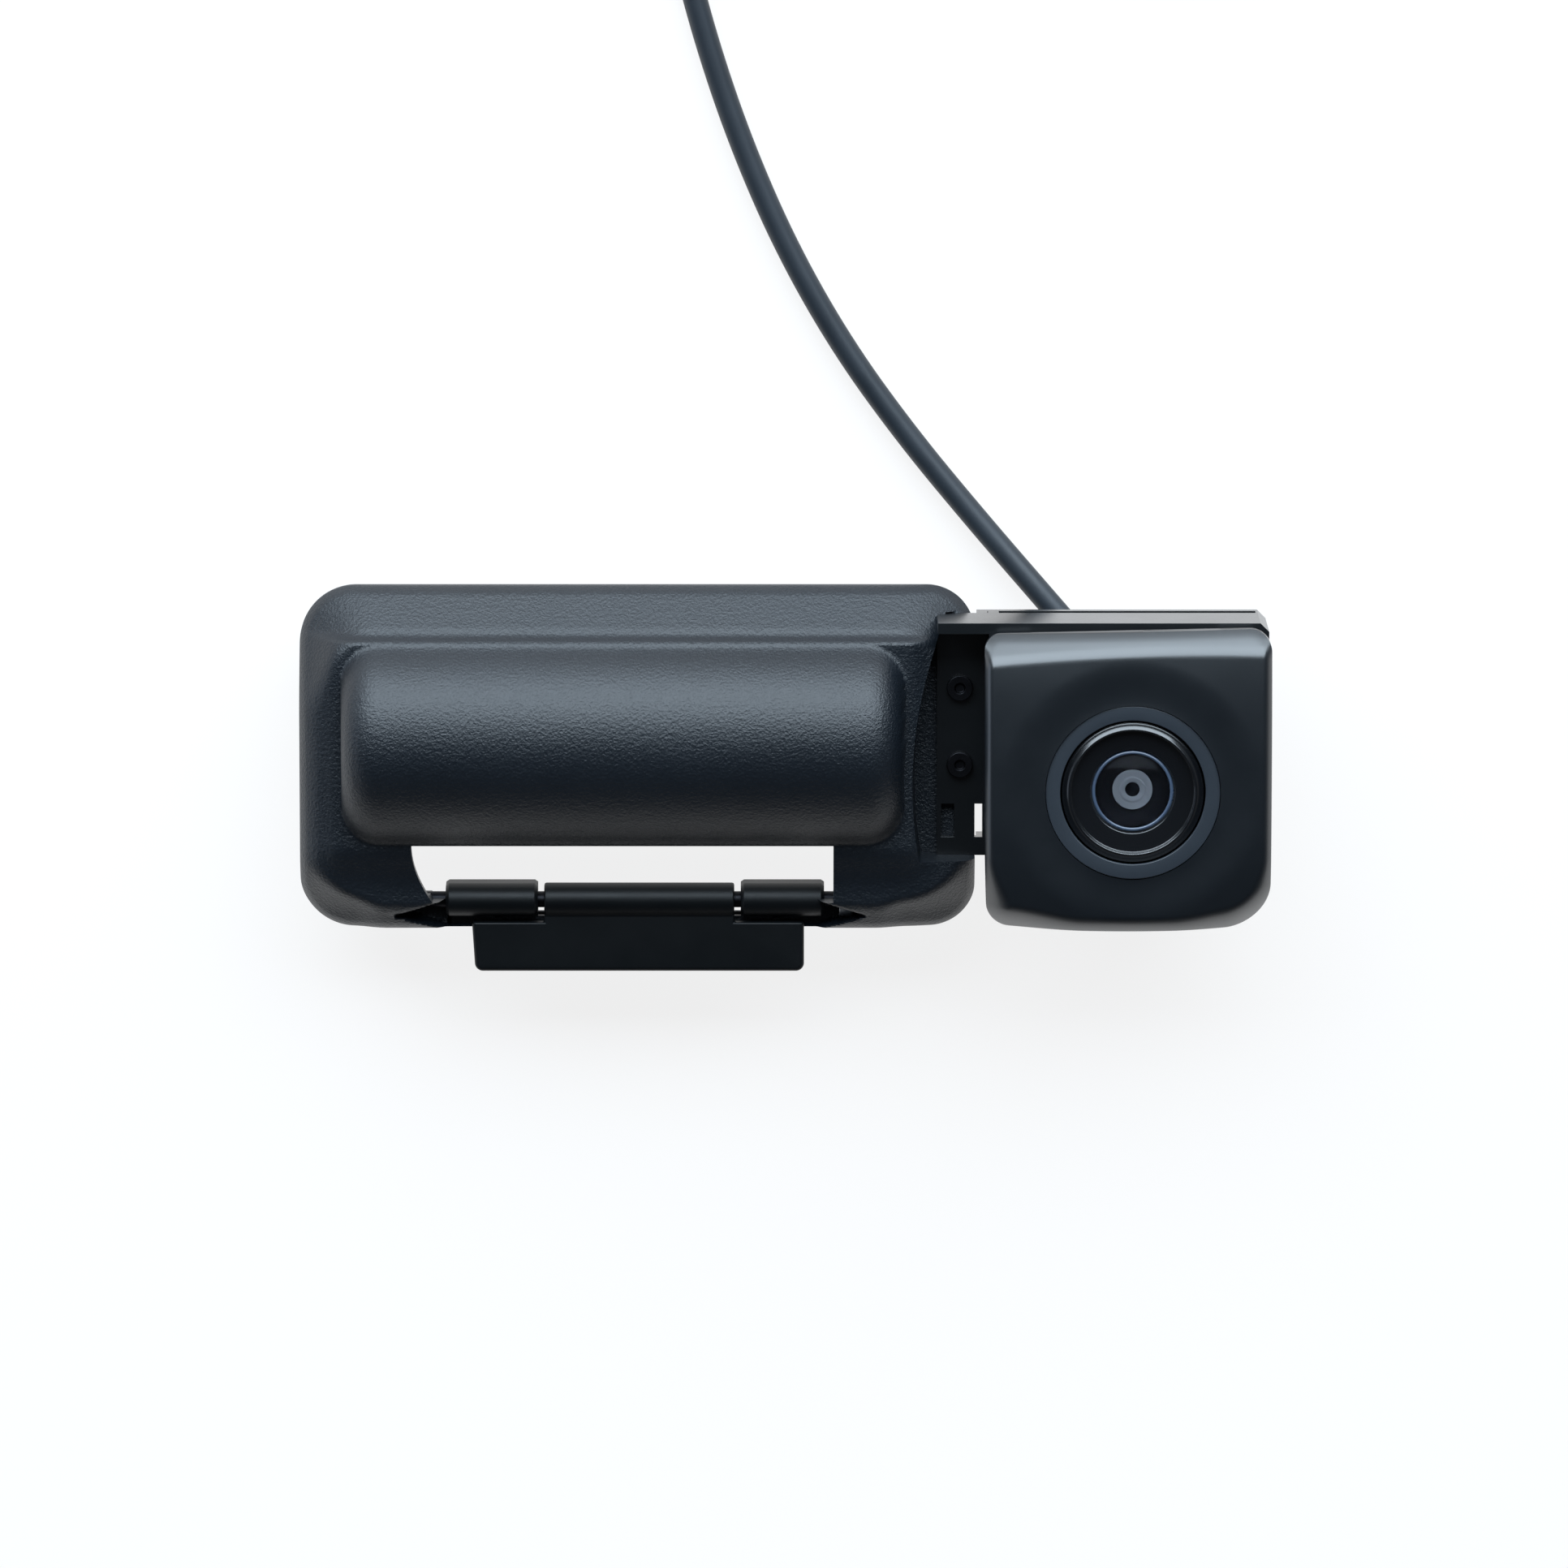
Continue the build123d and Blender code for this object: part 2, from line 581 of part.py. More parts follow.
# ---------------------------------------------------------------- camera head
with BuildPart() as head_housing:
    with BuildSketch(Plane.XY.offset(head_front_back)):
        with Locations((head_mid_x, head_low_y + head_height / 2)):
            RectangleRounded(head_width, head_height, head_corner)
    extrude(amount=head_front_depth)
    fillet(head_housing.faces().sort_by(Axis.Z)[-1].edges(), radius=head_edge)
    with BuildSketch(Plane.XY.offset(housing_back)):
        with Locations((rear_mid_x, rear_mid_y)):
            RectangleRounded(rear_width, rear_height, rear_corner)
    extrude(amount=rear_depth + 1)
    with BuildSketch(Plane.XY.offset(housing_back)):
        with Locations((rear_mid_x, rear_mid_y)):
            RectangleRounded(rear_width - 2 * head_wall, rear_height - 2 * head_wall, 1.0)
    extrude(amount=lens_floor - housing_back, mode=Mode.SUBTRACT)
    # Shallow dish in the face, then the stepped seat of the lens.
    with BuildSketch(Plane.XZ.offset(-lens_y)):
        with BuildLine():
            Polyline(
                (lens_x, lens_seat), (lens_x + trim_inner, lens_seat),
                (lens_x + trim_inner, head_face - 2.5),
                (lens_x + trim_outer, head_face - 2.5), (lens_x + trim_outer, head_face - dish_depth),
                (lens_x + dish_radius, head_face), (lens_x + dish_radius, head_face + 1),
                (lens_x, head_face + 1), close=True,
            )
        make_face()
    revolve(axis=Axis((lens_x, lens_y, 0), (0, 0, 1)), mode=Mode.SUBTRACT)
    columns([(lens_x, lens_y)], barrel_radius + barrel_gap, housing_back, head_face, mode=Mode.SUBTRACT)
    columns(cover_screw_points, 3.0, housing_back, lens_floor)
    columns(cover_screw_points, cover_screw_radius, housing_back, housing_back + 8, mode=Mode.SUBTRACT)
    columns(holder_screw_points, 2.6, holder_deck_z, lens_floor)
    columns(holder_screw_points, 1.0, holder_deck_z, holder_deck_z + 3.0, mode=Mode.SUBTRACT)
    crossbar(tilt_axis_y, tilt_axis_z + 0.4, 2.4, rear_left + 1, rear_left + pivot_grip + 0.6)
    crossbar(tilt_axis_y, tilt_axis_z + 0.4, 2.4, rear_right - pivot_grip - 0.6, rear_right - 1)
    crossbar(
        tilt_axis_y, tilt_axis_z, pivot_radius, rear_left - 1, rear_left + pivot_grip, mode=Mode.SUBTRACT
    )
    crossbar(
        tilt_axis_y, tilt_axis_z, pivot_radius, rear_right - pivot_grip, rear_right + 1, mode=Mode.SUBTRACT
    )
write(head_housing, "head_housing")

with BuildPart() as head_seal:
    with BuildSketch(Plane.XY.offset(seal_low)):
        with Locations((rear_mid_x, rear_mid_y)):
            RectangleRounded(rear_width - 0.6, rear_height - 0.6, 2.7)
            RectangleRounded(
                rear_width - 2 * head_wall, rear_height - 2 * head_wall, 1.0, mode=Mode.SUBTRACT
            )
        with Locations(*cover_screw_points):
            Circle(cover_screw_radius + 0.1, mode=Mode.SUBTRACT)
    extrude(amount=seal_thickness)
write(head_seal, "head_seal")

with BuildPart() as head_screws:
    columns(cover_screw_points, cover_screw_radius, cover_back, housing_back + 6)
    columns(cover_screw_points, 2.0, cover_back, cover_back + 0.8)
    columns(cover_screw_points, 0.8, cover_back, cover_back + 0.6, mode=Mode.SUBTRACT)
write(head_screws, "head_screws")

with BuildPart() as head_rear_cover:
    with BuildSketch(Plane.XY.offset(cover_back)):
        with Locations((rear_mid_x, rear_mid_y)):
            RectangleRounded(rear_width, rear_height, rear_corner)
        with Locations((outlet_x, outlet_y)):
            Circle(lead_radius + 1.4, mode=Mode.SUBTRACT)
        with Locations(*cover_screw_points):
            Circle(cover_screw_radius, mode=Mode.SUBTRACT)
    extrude(amount=cover_thickness)
    columns(cover_screw_points, 2.0, cover_back, cover_back + 0.8, mode=Mode.SUBTRACT)
write(head_rear_cover, "head_rear_cover")

with BuildPart() as lead_grommet:
    columns([(outlet_x, outlet_y)], lead_radius + 1.4, cover_back, seal_low)
    columns([(outlet_x, outlet_y)], lead_radius + 2.4, cover_back - 0.9, cover_back)
    columns([(outlet_x, outlet_y)], lead_radius, 0, 40, mode=Mode.SUBTRACT)
write(lead_grommet, "lead_grommet")

with BuildPart() as head_lead:
    columns([(outlet_x, outlet_y)], lead_radius, carrier_back - 3.0, main_board_z)
write(head_lead, "head_lead")

# ---------------------------------------------------------------- lens stack
lens_axis = [(lens_x, lens_y)]

with BuildPart() as lens_trim_ring:
    columns(lens_axis, trim_outer, head_face - 2.5, head_face - dish_depth)
    columns(lens_axis, trim_inner, head_face - 3, head_face, mode=Mode.SUBTRACT)
write(lens_trim_ring, "lens_trim_ring")

with BuildPart() as lens_retainer:
    with BuildSketch(Plane.XZ.offset(-lens_y)):
        with BuildLine():
            rim = lens_x + trim_inner - 0.2
            Polyline(
                (lens_x + retainer_inner, lens_seat), (rim, lens_seat), (rim, lens_seat + 2.0),
                (rim - 0.5, lens_seat + 2.4), (rim - 1.1, lens_seat + 2.4),
                (lens_x + retainer_inner, lens_seat + 0.7), close=True,
            )
        make_face()
    revolve(axis=Axis((lens_x, lens_y, 0), (0, 0, 1)))
write(lens_retainer, "lens_retainer")

with BuildPart() as lens_front_element:
    with BuildSketch(Plane.XZ.offset(-lens_y)):
        with BuildLine():
            dome_top = lens_seat + 1.6
            dome_centre = dome_top - front_lens_curve
            edge_z = dome_top - front_lens_rise
            half_way = front_lens_radius / 2
            half_z = dome_centre + sqrt(front_lens_curve**2 - half_way**2)
            Polyline(
                (lens_x, dome_top), (lens_x, lens_seat - 1.5),
                (lens_x + front_lens_radius, lens_seat - 1.5), (lens_x + front_lens_radius, edge_z),
            )
            ThreePointArc(
                (lens_x + front_lens_radius, edge_z), (lens_x + half_way, half_z), (lens_x, dome_top)
            )
        make_face()
    revolve(axis=Axis((lens_x, lens_y, 0), (0, 0, 1)))
write(lens_front_element, "lens_front_element")

with BuildPart() as lens_seal:
    columns(lens_axis, barrel_radius + barrel_gap, lens_seat - 1.3, lens_seat)
    columns(lens_axis, front_lens_radius, lens_seat - 3, lens_seat + 1, mode=Mode.SUBTRACT)
write(lens_seal, "lens_seal")

with BuildPart() as lens_barrel:
    columns(lens_axis, barrel_radius, holder_deck_z, lens_seat - 1.5)
    columns(lens_axis, barrel_bore, holder_deck_z, lens_seat, mode=Mode.SUBTRACT)
write(lens_barrel, "lens_barrel")

with BuildPart() as aperture_ring:
    columns(lens_axis, barrel_bore, lens_seat - 3.0, lens_seat - 2.4)
    columns(lens_axis, pupil_radius, lens_seat - 4, lens_seat, mode=Mode.SUBTRACT)
write(aperture_ring, "aperture_ring")

with BuildPart() as lens_rear_element:
    columns(lens_axis, barrel_bore, holder_deck_z + 0.6, holder_deck_z + 2.6)
write(lens_rear_element, "lens_rear_element")

with BuildPart() as lens_holder:
    slab(
        lens_x - holder_size / 2, lens_x + holder_size / 2, lens_y - holder_size / 2,
        lens_y + holder_size / 2, holder_base_z, holder_deck_z,
    )
    slab(
        lens_x - holder_ear_pitch / 2 - 2.4, lens_x + holder_ear_pitch / 2 + 2.4, lens_y - 2.6,
        lens_y + 2.6, holder_base_z, holder_deck_z,
    )
    columns(lens_axis, barrel_radius + 1.6, holder_deck_z, holder_deck_z + 3.6)
    columns(lens_axis, barrel_radius, holder_deck_z, holder_deck_z + 4, mode=Mode.SUBTRACT)
    columns(lens_axis, barrel_bore, holder_base_z, holder_deck_z, mode=Mode.SUBTRACT)
    columns(holder_screw_points, 1.0, holder_base_z, holder_deck_z, mode=Mode.SUBTRACT)
    columns(post_points, board_screw_radius, holder_base_z, holder_base_z + 1.8, mode=Mode.SUBTRACT)
write(lens_holder, "lens_holder")

with BuildPart() as holder_screws:
    columns(holder_screw_points, 1.0, holder_base_z, holder_deck_z + 2.8)
    columns(holder_screw_points, 1.8, holder_base_z - 1.0, holder_base_z)
write(holder_screws, "holder_screws")

with BuildPart() as image_sensor:
    slab(lens_x - 4.2, lens_x + 4.2, lens_y - 3.8, lens_y + 3.8, holder_base_z, holder_base_z + 0.9)
write(image_sensor, "image_sensor")

with BuildPart() as sensor_board:
    half = sensor_board_size / 2
    slab(lens_x - half, lens_x + half, lens_y - half, lens_y + half, sensor_board_z, holder_base_z)
    columns(post_points, board_screw_radius, sensor_board_z, holder_base_z, mode=Mode.SUBTRACT)
write(sensor_board, "sensor_board")

with BuildPart() as main_board:
    slab(
        lens_x - main_board_width / 2, lens_x + main_board_width / 2, lens_y - main_board_height / 2,
        lens_y + main_board_height / 2, main_board_z, main_board_z + board_thickness,
    )
    columns(post_points, board_screw_radius, main_board_z, sensor_board_z, mode=Mode.SUBTRACT)
    fillet(main_board.edges().filter_by(Axis.Z).group_by(Axis.X)[0], radius=1.0)
write(main_board, "main_board")

with BuildPart() as board_spacers:
    columns(post_points, 1.8, main_board_z + board_thickness, sensor_board_z)
    columns(post_points, board_screw_radius, main_board_z, sensor_board_z, mode=Mode.SUBTRACT)
write(board_spacers, "board_spacers")

with BuildPart() as board_screws:
    columns(post_points, board_screw_radius, main_board_z, holder_base_z + 1.6)
    columns(post_points, 1.5, main_board_z - 0.9, main_board_z)
write(board_screws, "board_screws")

with BuildPart() as board_header:
    slab(
        lens_x - 7.0, lens_x + 7.0, lens_y + 9.0, lens_y + 12.4,
        main_board_z + board_thickness, sensor_board_z,
    )
write(board_header, "board_header")

with BuildPart() as board_chips:
    chip_base = main_board_z + board_thickness
    slab(lens_x - 4.5, lens_x + 4.5, lens_y - 4.5, lens_y + 4.5, chip_base, chip_base + 1.0)
    slab(lens_x + 11.2, lens_x + 14.2, lens_y - 8.0, lens_y - 2.5, chip_base, chip_base + 1.1)
    slab(lens_x - 14.6, lens_x - 11.6, lens_y + 2.0, lens_y + 7.0, chip_base, chip_base + 1.4)
write(board_chips, "board_chips")

# ---------------------------------------------------------------- cable outlet
exit_start = Vector(*cable_route[0])
exit_run = (Vector(*cable_route[1]) - exit_start).normalized()
nozzle_axis = Vector(outlet_x, outlet_y, nozzle_z)
nozzle_end = exit_start + exit_run * 4.0
cable_radius = cable_diameter / 2

with BuildPart() as cable_outlet:
    slab(outlet_x - 7.0, outlet_x + 7.0, outlet_y - 12.5, outlet_y + 12.5, carrier_back - 2.0, carrier_back)
    fillet(cable_outlet.edges().filter_by(Axis.Z), radius=3.0)
    columns([(outlet_x, outlet_y)], outlet_radius, 0, carrier_back - 1.0)
    with BuildSketch(Plane(origin=nozzle_end - exit_run * nozzle_reach, z_dir=exit_run)):
        Circle(nozzle_radius)
    extrude(amount=nozzle_reach)
    columns([(outlet_x, outlet_y)], outlet_bore, 2.0, carrier_back, mode=Mode.SUBTRACT)
    with BuildSketch(Plane(origin=nozzle_end - exit_run * nozzle_reach, z_dir=exit_run)):
        Circle(cable_radius)
    extrude(amount=nozzle_reach + 1, mode=Mode.SUBTRACT)
    columns(outlet_screw_points, 1.0, 0, carrier_back, mode=Mode.SUBTRACT)
write(cable_outlet, "cable_outlet")

with BuildPart() as outlet_screws:
    columns(outlet_screw_points, 1.0, carrier_back - 2.0, carrier_back + carrier_sheet)
    columns(outlet_screw_points, 1.9, carrier_back - 3.2, carrier_back - 2.0)
    columns(outlet_screw_points, 0.7, carrier_back - 3.2, carrier_back - 2.5, mode=Mode.SUBTRACT)
write(outlet_screws, "outlet_screws")

with BuildPart() as strain_relief:
    with BuildSketch(Plane(origin=nozzle_end, z_dir=exit_run)):
        Circle(nozzle_radius - 0.3)
    with BuildSketch(Plane(origin=nozzle_end + exit_run * relief_length, z_dir=exit_run)):
        Circle(cable_radius + relief_tip_wall)
    loft()
    with BuildSketch(Plane(origin=nozzle_end, z_dir=exit_run)):
        Circle(cable_radius)
    extrude(amount=relief_length, mode=Mode.SUBTRACT)
write(strain_relief, "strain_relief")


# ---------------------------------------------------------------- free cable
def corner_radii(points):
    """Arc radius at each inner point: 0.45 of the shorter run over the tangent of half the turn."""
    radii = []
    for before, corner, after in zip(points, points[1:], points[2:]):
        into = Vector(*corner) - Vector(*before)
        out = Vector(*after) - Vector(*corner)
        turn = into.get_angle(out)
        radii.append(0.45 * min(into.length, out.length) / tan(radians(turn) / 2))
    return radii


def cable_tube(points, name):
    """A round tube along straight runs joined by tangent arcs."""
    radii = corner_radii(points)
    print(name, "radii", [round(radius, 1) for radius in radii])
    with BuildPart() as tube:
        with BuildLine() as path:
            FilletPolyline(*points, radius=radii)
        start_run = Vector(*points[1]) - Vector(*points[0])
        with BuildSketch(Plane(origin=points[0], z_dir=start_run)) as section:
            Circle(cable_radius)
        sweep(sections=section.sketch, path=path.line)
    tube_length = sum(edge.length for edge in path.edges())
    print(name, "length", round(tube_length, 1), "volume ratio",
          round(tube.part.volume / (pi * cable_radius**2 * tube_length), 4))
    return tube


camera_cable = cable_tube(cable_route, "camera_cable")
write(camera_cable, "camera_cable")
cable_tail = cable_tube(tail_route, "cable_tail")
write(cable_tail, "cable_tail")

coil_inner = coil_radius - cable_diameter - 0.2
coil_outer = coil_radius + cable_diameter + 0.2
coil_height = 2 * cable_diameter - 0.4

with BuildPart() as cable_coil:
    columns([(coil_x, coil_y)], coil_outer, tie_thickness, tie_thickness + coil_height)
    columns([(coil_x, coil_y)], coil_inner, 0, 2 * coil_height, mode=Mode.SUBTRACT)
    fillet(cable_coil.edges().filter_by(GeomType.CIRCLE), radius=1.8)
write(cable_coil, "cable_coil")

with BuildPart() as coil_tie:
    tie_low_y = coil_y + coil_inner - tie_thickness
    tie_high_y = coil_y + coil_outer + tie_thickness
    tie_top = coil_height + 2 * tie_thickness
    slab(coil_x - 2.0, coil_x + 2.0, tie_low_y, tie_high_y, 0, tie_top)
    slab(
        coil_x - 3.0, coil_x + 3.0, tie_low_y + tie_thickness, tie_high_y - tie_thickness,
        tie_thickness, tie_top - tie_thickness, mode=Mode.SUBTRACT,
    )
    slab(coil_x - 3.0, coil_x + 3.0, tie_high_y, tie_high_y + 2.0, 0, 4.0)
write(coil_tie, "coil_tie")

# ---------------------------------------------------------------- plug
plug_start = Vector(*tail_route[-1])
plug_run = (plug_start - Vector(*tail_route[-2])).normalized()


def plug_plane(distance):
    """Plane across the plug, at a distance from where the cable enters it."""
    return Plane(origin=plug_start + plug_run * distance, z_dir=plug_run, x_dir=(0, 0, 1))


with BuildPart() as plug_body:
    with BuildSketch(plug_plane(0)):
        Circle(cable_radius + 0.6)
    with BuildSketch(plug_plane(6.0)):
        Circle(plug_radius - 0.6)
    loft()
    with BuildSketch(plug_plane(6.0)):
        Circle(plug_radius)
    extrude(amount=12.0)
    with BuildSketch(plug_plane(18.0)):
        Circle(3.4)
    extrude(amount=7.0)
    with BuildSketch(plug_plane(19.0)):
        Circle(2.7)
    extrude(amount=7.0, mode=Mode.SUBTRACT)
write(plug_body, "plug_body")

with BuildPart() as plug_seal:
    with BuildSketch(plug_plane(18.0)):
        Circle(4.0)
        Circle(3.4, mode=Mode.SUBTRACT)
    extrude(amount=1.2)
write(plug_seal, "plug_seal")

with BuildPart() as plug_pins:
    with BuildSketch(plug_plane(19.0)):
        with PolarLocations(1.5, 4, start_angle=45):
            Circle(0.4)
    extrude(amount=4.5)
write(plug_pins, "plug_pins")
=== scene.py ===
"""Looks of a tailgate handle bezel with a tilting camera head and its cable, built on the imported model.

Lengths are in millimetres inside the shape functions and become metres in the meshes.
"""

import json
import math

import bmesh
import bpy
import numpy as np
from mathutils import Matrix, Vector


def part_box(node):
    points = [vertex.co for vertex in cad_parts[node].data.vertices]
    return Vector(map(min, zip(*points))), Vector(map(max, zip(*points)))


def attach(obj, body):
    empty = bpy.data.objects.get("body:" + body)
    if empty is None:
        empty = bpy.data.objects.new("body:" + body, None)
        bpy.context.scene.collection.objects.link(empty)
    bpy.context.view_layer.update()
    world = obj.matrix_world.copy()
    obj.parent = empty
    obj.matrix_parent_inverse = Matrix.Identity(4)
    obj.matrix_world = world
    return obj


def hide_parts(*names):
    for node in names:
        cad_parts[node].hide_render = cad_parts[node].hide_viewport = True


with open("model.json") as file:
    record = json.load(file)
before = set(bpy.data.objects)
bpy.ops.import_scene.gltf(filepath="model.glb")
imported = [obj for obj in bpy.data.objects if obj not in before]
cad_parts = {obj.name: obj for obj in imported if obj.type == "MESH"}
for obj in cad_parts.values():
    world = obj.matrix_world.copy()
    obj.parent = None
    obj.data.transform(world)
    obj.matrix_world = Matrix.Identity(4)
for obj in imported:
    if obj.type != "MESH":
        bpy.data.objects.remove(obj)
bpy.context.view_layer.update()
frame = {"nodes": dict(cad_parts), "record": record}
MM = 0.001


# ---------------------------------------------------------------- meshes
def span(node):
    """A node's lowest and highest corner, in millimetres."""
    low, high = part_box(node)
    return np.array(low) / MM, np.array(high) / MM


def new_object(name, points, faces, body, slot, smooth_angle=35.0):
    """A mesh object from points in millimetres, riding on a body, with the finish of a record slot."""
    mesh = bpy.data.meshes.new(name)
    corners = (np.asarray(points, float) * MM).tolist()
    mesh.from_pydata(corners, [], [tuple(int(i) for i in face) for face in faces])
    mesh.update()
    mesh.shade_smooth()
    mesh.set_sharp_from_angle(angle=math.radians(smooth_angle))
    mesh.materials.append(finishes[slot])
    piece = bpy.data.objects.new(name, mesh)
    bpy.context.scene.collection.objects.link(piece)
    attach(piece, body)
    return piece


def grid_faces(rows, columns, start=0, flip=False, wrap=False):
    """Quads of a rows by columns grid of points, closed round the columns when wrap is set."""
    across = columns if wrap else columns - 1
    row, column = np.meshgrid(np.arange(rows - 1), np.arange(across), indexing="ij")
    following = (column + 1) % columns
    quads = np.stack(
        [row * columns + column, row * columns + following, (row + 1) * columns + following,
         (row + 1) * columns + column], axis=-1
    ).reshape(-1, 4) + start
    return quads[:, ::-1] if flip else quads


def lathe(name, profile, centre, body, slot, turns=96, smooth_angle=35.0):
    """A closed ring or disc: the (radius, height) profile carried round a vertical axis at centre.

    A profile that starts and ends on the axis gives a disc; any other profile is closed on itself.
    """
    profile = np.asarray(profile, float)
    angle = np.linspace(0, 2 * np.pi, turns, endpoint=False)
    solid = profile[0, 0] == 0 and profile[-1, 0] == 0
    ring = profile[1:-1] if solid else profile
    radius, height = ring[:, 0][:, None], ring[:, 1][:, None]
    x = centre[0] + radius * np.cos(angle)
    y = centre[1] + radius * np.sin(angle)
    points = np.stack([x, y, height + 0 * angle], axis=-1).reshape(-1, 3)
    faces = grid_faces(len(ring), turns, wrap=True).tolist()
    last = (len(ring) - 1) * turns
    if solid:
        points = np.vstack([points, [*centre[:2], profile[0, 1]], [*centre[:2], profile[-1, 1]]])
        first_pole, last_pole = len(points) - 2, len(points) - 1
        faces += [(first_pole, (i + 1) % turns, i) for i in range(turns)]
        faces += [(last_pole, last + i, last + (i + 1) % turns) for i in range(turns)]
    else:
        faces += [(last + i, last + (i + 1) % turns, (i + 1) % turns, i) for i in range(turns)]
    return new_object(name, points, faces, body, slot, smooth_angle)


def rounded(profile, radius, steps=5):
    """The profile with each inner corner replaced by a curve that leaves it at most radius away."""
    profile = [np.asarray(p, float) for p in profile]
    out = [profile[0]]
    for before, corner, after in zip(profile, profile[1:], profile[2:]):
        reach_in = min(radius, 0.45 * np.linalg.norm(before - corner))
        reach_out = min(radius, 0.45 * np.linalg.norm(after - corner))
        start = corner + (before - corner) / np.linalg.norm(before - corner) * reach_in
        end = corner + (after - corner) / np.linalg.norm(after - corner) * reach_out
        for t in np.linspace(0, 1, steps):
            out.append((1 - t) ** 2 * start + 2 * t * (1 - t) * corner + t**2 * end)
    out.append(profile[-1])
    return np.array(out)


def dressed(node, body, slot, edge=0.25, finish=None, segments=2, angle=30.0):
    """A copy of a CAD node with its doubles merged, flat faces joined and its edges rounded.

    It takes its slot's finish unless another is given.
    """
    mesh = frame["nodes"][node].data.copy()
    mesh.name = node + "_dressed"
    mesh.materials.clear()
    mesh.materials.append(finish or finishes[slot])
    work = bmesh.new()
    work.from_mesh(mesh)
    bmesh.ops.remove_doubles(work, verts=work.verts, dist=2e-6)
    bmesh.ops.dissolve_limit(work, angle_limit=math.radians(1.0), verts=work.verts, edges=work.edges)
    work.to_mesh(mesh)
    work.free()
    if mesh.attributes.get("custom_normal"):
        mesh.attributes.remove(mesh.attributes["custom_normal"])
    mesh.shade_smooth()
    mesh.set_sharp_from_angle(angle=math.radians(angle))
    piece = bpy.data.objects.new(node + "_dressed", mesh)
    bpy.context.scene.collection.objects.link(piece)
    if edge:
        bevel = piece.modifiers.new("edge", "BEVEL")
        bevel.width = edge * MM
        bevel.segments = segments
        bevel.limit_method = "ANGLE"
        bevel.angle_limit = math.radians(angle)
        bevel.harden_normals = True
        bevel.use_clamp_overlap = True
    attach(piece, body)
    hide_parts(node)
    return piece


# ---------------------------------------------------------------- finishes
class Value:
    """A number socket in a finish. Python operators on it add Math nodes."""

    def __init__(self, finish, socket):
        self.finish, self.socket = finish, socket

    def _maths(self, operation, first, second=0.0):
        return self.finish.add("ShaderNodeMath", {"operation": operation}, {0: first, 1: second})

    def __add__(self, other):
        return self._maths("ADD", self, other)

    def __sub__(self, other):
        return self._maths("SUBTRACT", self, other)

    def __rsub__(self, other):
        return self._maths("SUBTRACT", other, self)

    def __mul__(self, other):
        return self._maths("MULTIPLY", self, other)

    def __pow__(self, other):
        return self._maths("POWER", self, other)

    __radd__, __rmul__ = __add__, __mul__


class Finish:
    """A material: a Principled shader and the patterns that feed it."""

    def __init__(self, name, color, roughness, metallic=0.0, **constants):
        self.material = bpy.data.materials.new(name)
        self.material.use_nodes = True
        self.nodes = self.material.node_tree.nodes
        self.links = self.material.node_tree.links
        self.shader = self.nodes["Principled BSDF"]
        self.color = color
        self.put("Base Color", (*color, 1.0))
        self.put("Roughness", roughness)
        self.put("Metallic", metallic)
        for socket, value in constants.items():
            self.put(socket.replace("_", " "), value)
        self.place = self.add("ShaderNodeTexCoord", {}, {}, "Object")

    def put(self, socket, value):
        """Set or link one socket of the shader."""
        self._fill(self.shader.inputs[socket], value)

    def _fill(self, socket, value):
        if isinstance(value, Value):
            self.links.new(value.socket, socket)
        else:
            socket.default_value = value

    def add(self, kind, settings, inputs, output=0):
        """Add a node with its settings and the values or links of its sockets."""
        node = self.nodes.new(kind)
        for key, value in settings.items():
            if key == "stops":
                ramp = node.color_ramp
                for stop, (position, shade) in zip((ramp.elements[0], ramp.elements[1]), value):
                    stop.position = position
                    stop.color = (shade, shade, shade, 1.0)
                for position, shade in value[2:]:
                    ramp.elements.new(position).color = (shade, shade, shade, 1.0)
            else:
                setattr(node, key, value)
        for key, value in inputs.items():
            self._fill(node.inputs[key], value)
        return Value(self, node.outputs[output])

    def noise(self, size, detail=3.0, rough=0.55):
        """Noise whose blobs are about size millimetres across."""
        return self.add(
            "ShaderNodeTexNoise", {},
            {"Vector": self.place, "Scale": 1.0 / (size * MM), "Detail": detail, "Roughness": rough}, "Fac",
        )

    def cells(self, size, feature="F1"):
        """Rounded cells about size millimetres across."""
        return self.add(
            "ShaderNodeTexVoronoi", {"feature": feature},
            {"Vector": self.place, "Scale": 1.0 / (size * MM)}, "Distance",
        )

    def tint(self, amount, low, high):
        """Base colour between two shades of the finish's own colour."""
        dark = tuple(c * low for c in self.color) + (1.0,)
        light = tuple(min(1.0, c * high) for c in self.color) + (1.0,)
        mix = self.add("ShaderNodeMix", {"data_type": "RGBA"}, {0: amount, 6: dark, 7: light}, 2)
        self.put("Base Color", mix)

    def relief(self, height, depth, strength=1.0):
        """Bump of the given height pattern, depth in millimetres."""
        bump = self.add(
            "ShaderNodeBump", {}, {"Height": height, "Distance": depth * MM, "Strength": strength}
        )
        self.put("Normal", bump)


def grained(name, color, roughness, grain, depth):
    """Moulded plastic with a fine spark-eroded grain, scuffs in the gloss and faint colour drift."""
    finish = Finish(name, color, roughness, Specular_IOR_Level=0.45)
    coarse = finish.cells(grain)
    fine = finish.noise(grain * 0.45, 2.0)
    drift = finish.noise(28.0, 2.0)
    finish.tint(drift, 0.86, 1.16)
    finish.put("Roughness", drift * 0.08 + fine * 0.12 + (roughness - 0.10))
    finish.relief(coarse * 0.7 + fine, depth)
    return finish.material


